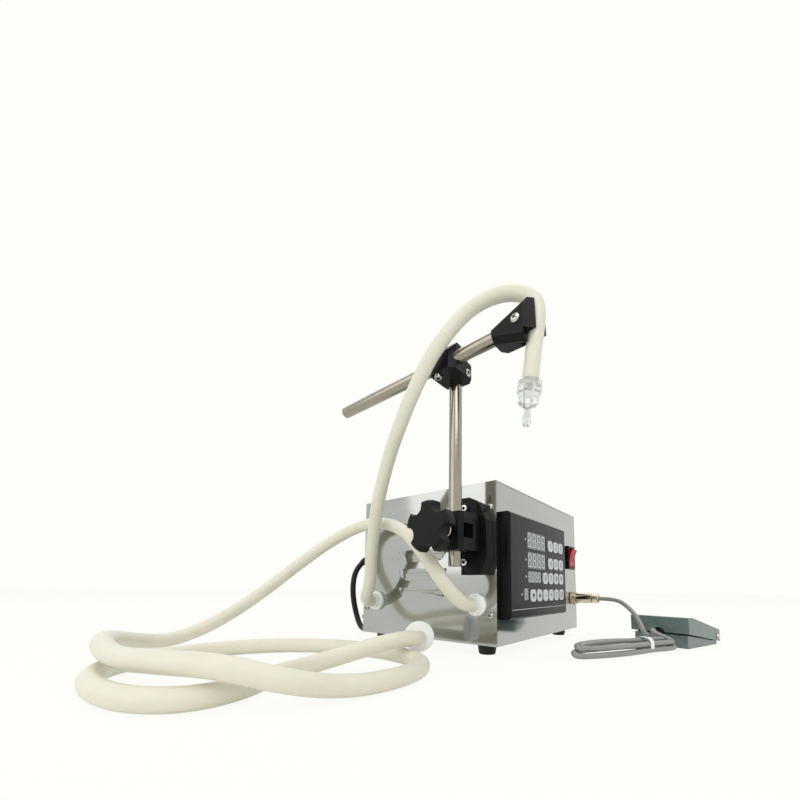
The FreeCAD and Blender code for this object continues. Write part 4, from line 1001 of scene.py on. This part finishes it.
class FILLER_OT_film_print(bpy.types.Operator):
    """Prints the film's rule and a small pointer beside each window"""

    bl_idname = "filler.film_print"
    bl_label = "Film print"

    def execute(self, context):
        own = context.scene.filler_prints
        mesh = bmesh.new()
        across, up = RULE_PLACE
        wide, tall = RULE_SIZE
        add_block(mesh, facing(across, FILM_FRONT, up), wide, 2 * own.relief / MM, tall)
        for left, _, middle, _, _ in WINDOWS:
            bmesh.ops.create_cone(
                mesh,
                cap_ends=True,
                segments=3,
                radius1=POINTER_RADIUS * MM,
                radius2=POINTER_RADIUS * MM,
                depth=2 * own.relief,
                matrix=facing(left - POINTER_GAP, FILM_FRONT, middle, (90, "X"), (-90, "Z")),
            )
        make_piece("film_print", mesh, "key_grey", "machine")
        return {"FINISHED"}


class FILLER_OT_switch_marks(bpy.types.Operator):
    """Marks the rocker's two ends on and off"""

    bl_idname = "filler.switch_marks"
    bl_label = "Switch marks"

    def execute(self, context):
        own = context.scene.filler_prints
        rocker = facing(*ROCKER_PIVOT, (ROCKER_LEAN, "X"))
        mesh = bmesh.new()
        for mark, up, slope in SWITCH_MARKS:
            place = rocker @ facing(0, up, SWITCH_FACE, (slope, "X"))
            add_letters(mesh, mark, own.switch_size, own.relief, place)
        make_piece("switch_marks", mesh, "white_plastic", "rocker")
        return {"FINISHED"}


class FILLER_OT_screw_recess_shade(bpy.types.Operator):
    """Paints dark crosses and discs into the screw recesses in view: painted shade"""

    bl_idname = "filler.screw_recesses"
    bl_label = "Screw recess shade"

    def execute(self, context):
        mesh = bmesh.new()
        # Painted shade: a thin dark cross on each case screw head stands for the shade in its drive
        # recess.
        for across in (-1, 1):
            for along in (-1, 1):
                for up in CASE_SCREW_HEIGHTS:
                    # Each screw stopped at its own angle.
                    turn = 20 + 37 * along + 11 * up
                    place = facing(
                        across * CASE_SCREWS[0], along * CASE_SCREWS[1], up, (turn, "X")
                    )
                    add_block(mesh, place, 0.5, 3.2, 0.75)
                    add_block(mesh, place, 0.5, 0.75, 3.2)
        for up in BLOCK_SCREW_HEIGHTS:
            self.add_socket_shade(mesh, facing(*BLOCK_SCREWS, up, (90, "Y")))
        make_piece("case_screw_recesses", mesh, "black_abs", "machine")
        mesh = bmesh.new()
        self.add_socket_shade(mesh, facing(-168.5, -61, 253))
        self.add_socket_shade(mesh, facing(-149, -79, 259, (90, "X")))
        make_piece("crosshead_screw_recesses", mesh, "black_abs", "crosshead")
        mesh = bmesh.new()
        place = facing(*HOLDER_SCREW, (30, "X"))
        add_block(mesh, place, 0.4, 3.4, 0.75)
        add_block(mesh, place, 0.4, 0.75, 3.4)
        make_piece("holder_screw_recess", mesh, "black_abs", "nozzle_holder")
        return {"FINISHED"}

    def add_socket_shade(self, mesh, place):
        # Painted shade: a thin dark hexagon for the shade inside a hex socket.
        bmesh.ops.create_cone(
            mesh,
            cap_ends=True,
            segments=6,
            radius1=SOCKET_RADIUS * MM,
            radius2=SOCKET_RADIUS * MM,
            depth=SOCKET_DEPTH * MM,
            matrix=place,
        )


class FILLER_OT_knob_ring(bpy.types.Operator):
    """Turns the bright ring round the middle of the locking knob"""

    bl_idname = "filler.knob_ring"
    bl_label = "Knob ring"

    def execute(self, context):
        mesh = bmesh.new()
        across, along, up = KNOB_MIDDLE
        bmesh.ops.create_circle(
            mesh,
            radius=RING_SECTION * MM,
            segments=14,
            matrix=facing(across, along, up + RING_RADIUS, (90, "X")),
        )
        bmesh.ops.spin(
            mesh,
            geom=mesh.verts[:] + mesh.edges[:],
            cent=Vector(KNOB_MIDDLE) * MM,
            axis=(1, 0, 0),
            angle=2 * math.pi,
            steps=56,
            use_merge=True,
        )
        make_piece("knob_ring", mesh, "nickel", "knob")
        return {"FINISHED"}


class FILLER_OT_plug_pins(bpy.types.Operator):
    """Sleeves the mains plug's pins in metal"""

    bl_idname = "filler.plug_pins"
    bl_label = "Plug pins"

    def execute(self, context):
        mesh = bmesh.new()
        across, along, up = PIN_MIDDLE
        for offset in (-PIN_SPREAD, PIN_SPREAD):
            made = bmesh.ops.create_cone(
                mesh,
                cap_ends=True,
                segments=28,
                radius1=PIN_RADIUS * MM,
                radius2=PIN_RADIUS * MM,
                depth=PIN_LENGTH * MM,
                matrix=facing(across, along + offset, up, (90, "Y")),
            )
            tip = [
                edge
                for edge in mesh.edges
                if all(
                    corner.co.x > PIN_TIP * MM and corner in made["verts"] for corner in edge.verts
                )
            ]
            bmesh.ops.bevel(
                mesh,
                geom=tip,
                offset=1 * MM,
                segments=3,
                profile=0.5,
                affect="EDGES",
                material=-1,
            )
        make_piece("plug_pins", mesh, "nickel", "machine")
        return {"FINISHED"}


class FILLER_OT_pedal_gap_shade(bpy.types.Operator):
    """Stands a dark rubber strip inside the base's walls, as painted shade in the pedal's gap"""

    bl_idname = "filler.pedal_gasket"
    bl_label = "Pedal gap shade"

    def execute(self, context):
        mesh = bmesh.new()
        for start in STRIP_STARTS:
            corners = [
                mesh.verts.new(PEDAL_PLACE @ (Vector((along, start, up)) * MM))
                for along, up in STRIP_OUTLINE
            ]
            grown = bmesh.ops.extrude_face_region(mesh, geom=[mesh.faces.new(corners)])["geom"]
            moved = [item for item in grown if isinstance(item, bmesh.types.BMVert)]
            way = PEDAL_PLACE.to_3x3() @ Vector((0, STRIP_THICK * MM, 0))
            bmesh.ops.translate(mesh, vec=way, verts=moved)
        # Painted shade: a third dark strip joins the two side strips across their short end.
        add_block(mesh, PEDAL_PLACE @ facing(5.75, 31, 16.6), STRIP_THICK, 48.6, 6)
        make_piece("pedal_dust_strip", mesh, "foot_rubber", "machine")
        return {"FINISHED"}


class FILLER_OT_stage(bpy.types.Operator):
    """Sets the pale floor, the soft light and the photograph's camera"""

    bl_idname = "filler.stage"
    bl_label = "Stage"

    def execute(self, context):
        own = context.scene.filler_stage
        self.add_camera(context)
        self.add_floor(context, own.floor)
        self.add_world(context, own.world)
        for name, place, side, power in LAMPS:
            lamp = bpy.data.lights.new(name, "AREA")
            lamp.size = side
            lamp.energy = power * own.lamps
            made = bpy.data.objects.new(name, lamp)
            made.location = place
            way = Vector(LAMP_TARGET) - Vector(place)
            made.rotation_euler = way.to_track_quat("-Z", "Y").to_euler()
            context.scene.collection.objects.link(made)
        context.scene.view_settings.view_transform = "Standard"
        return {"FINISHED"}

    def seen_rays(self, tree):
        """One for rays from the eye, and for those that a bright or clear surface passes on."""
        rays = add_node(tree, "ShaderNodeLightPath")
        seen = add_node(
            tree,
            "ShaderNodeMath",
            {0: rays.outputs["Is Camera Ray"], 1: rays.outputs["Is Glossy Ray"]},
            operation="MAXIMUM",
        )
        return add_node(
            tree,
            "ShaderNodeMath",
            {0: seen.outputs[0], 1: rays.outputs["Is Transmission Ray"]},
            operation="MAXIMUM",
        )

    def add_floor(self, context, share):
        mesh = bmesh.new()
        bmesh.ops.create_grid(mesh, x_segments=1, y_segments=1, size=FLOOR_SIDE)
        data = bpy.data.meshes.new("floor")
        mesh.to_mesh(data)
        mesh.free()
        paper = bpy.data.materials.new("white_paper")
        paper.use_nodes = True
        tree = paper.node_tree
        shader = tree.nodes["Principled BSDF"]
        shader.inputs["Base Color"].default_value = colour("#F8F8F4")
        shader.inputs["Roughness"].default_value = 0.9
        shader.inputs["Specular IOR Level"].default_value = 0.1
        white = add_node(tree, "ShaderNodeEmission", {"Color": colour(PAPER), "Strength": 1.0})
        part = add_node(
            tree,
            "ShaderNodeMath",
            {0: self.seen_rays(tree).outputs[0], 1: share},
            operation="MULTIPLY",
        )
        mixed = add_node(
            tree,
            "ShaderNodeMixShader",
            {0: part.outputs[0], 1: shader.outputs[0], 2: white.outputs[0]},
        )
        tree.links.new(mixed.outputs[0], tree.nodes["Material Output"].inputs["Surface"])
        data.materials.append(paper)
        floor = bpy.data.objects.new("floor", data)
        context.scene.collection.objects.link(floor)

    def add_world(self, context, strength):
        world = bpy.data.worlds.new("studio")
        world.use_nodes = True
        tree = world.node_tree
        tree.nodes.clear()
        lit = add_node(
            tree, "ShaderNodeBackground", {"Color": colour("#F1F3F5"), "Strength": strength}
        )
        seen = add_node(tree, "ShaderNodeBackground", {"Color": colour(PAPER), "Strength": 1.0})
        mixed = add_node(
            tree,
            "ShaderNodeMixShader",
            {0: self.seen_rays(tree).outputs[0], 1: lit.outputs[0], 2: seen.outputs[0]},
        )
        add_node(tree, "ShaderNodeOutputWorld", {"Surface": mixed.outputs[0]})
        context.scene.world = world

    def add_camera(self, context):
        lens = bpy.data.cameras.new("camera")
        lens.sensor_width = SENSOR_MM
        lens.lens = FOCAL_PIXELS / PHOTO_SIDE * SENSOR_MM
        lens.shift_x = (PHOTO_SIDE / 2 - PRINCIPAL[0]) / PHOTO_SIDE
        lens.shift_y = (PRINCIPAL[1] - PHOTO_SIDE / 2) / PHOTO_SIDE
        lens.clip_start = 0.01
        camera = bpy.data.objects.new("camera", lens)
        level = math.cos(PITCH)
        ahead = Vector((math.sin(YAW) * level, math.cos(YAW) * level, math.sin(PITCH)))
        right = Vector((math.cos(YAW), -math.sin(YAW), 0))
        up = right.cross(ahead)
        rolled_right = right * math.cos(ROLL) + up * math.sin(ROLL)
        rolled_up = up * math.cos(ROLL) - right * math.sin(ROLL)
        turn = Matrix((rolled_right, rolled_up, -ahead)).transposed()
        camera.matrix_world = Matrix.Translation(EYE) @ turn.to_4x4()
        context.scene.collection.objects.link(camera)
        context.scene.camera = camera


PIECES = [
    FILLER_OT_materials,
    FILLER_OT_stage,
    FILLER_OT_solids,
    FILLER_OT_outlet_hose,
    FILLER_OT_suction_hose,
    FILLER_OT_pedal_cable,
    FILLER_OT_mains_lead,
    FILLER_OT_digits,
    FILLER_OT_key_marks,
    FILLER_OT_film_print,
    FILLER_OT_switch_marks,
    FILLER_OT_screw_recess_shade,
    FILLER_OT_knob_ring,
    FILLER_OT_plug_pins,
    FILLER_OT_pedal_gap_shade,
]

GROUPS = {
    "filler_finishes": FILLER_PG_finishes,
    "filler_cords": FILLER_PG_cords,
    "filler_prints": FILLER_PG_prints,
    "filler_stage": FILLER_PG_stage,
}


class FILLER_PT_panel(bpy.types.Panel):
    """Lists the settings and the makers of the filling machine"""

    bl_idname = "FILLER_PT_panel"
    bl_label = "Filling machine"
    bl_space_type = "VIEW_3D"
    bl_region_type = "UI"
    bl_category = "Filling machine"

    def draw(self, context):
        for name, group in GROUPS.items():
            box = self.layout.box()
            for setting in group.__annotations__:
                box.prop(getattr(context.scene, name), setting)
        for piece in PIECES:
            self.layout.operator(piece.bl_idname)


def register():
    for made in (*GROUPS.values(), *PIECES, FILLER_PT_panel):
        bpy.utils.register_class(made)
    for name, group in GROUPS.items():
        setattr(bpy.types.Scene, name, PointerProperty(type=group))


def unregister():
    for name in GROUPS:
        delattr(bpy.types.Scene, name)
    for made in (FILLER_PT_panel, *reversed(PIECES), *GROUPS.values()):
        bpy.utils.unregister_class(made)


def main():
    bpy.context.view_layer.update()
    register()
    bpy.ops.filler.materials()
    bpy.ops.filler.stage()
    bpy.ops.filler.solids()
    bpy.ops.filler.outlet_hose()
    bpy.ops.filler.suction_hose()
    bpy.ops.filler.pedal_cable()
    bpy.ops.filler.mains_lead()
    bpy.ops.filler.digits()
    bpy.ops.filler.key_marks()
    bpy.ops.filler.film_print()
    bpy.ops.filler.switch_marks()
    bpy.ops.filler.screw_recesses()
    bpy.ops.filler.knob_ring()
    bpy.ops.filler.plug_pins()
    bpy.ops.filler.pedal_gasket()


if __name__ == "__main__":
    main()
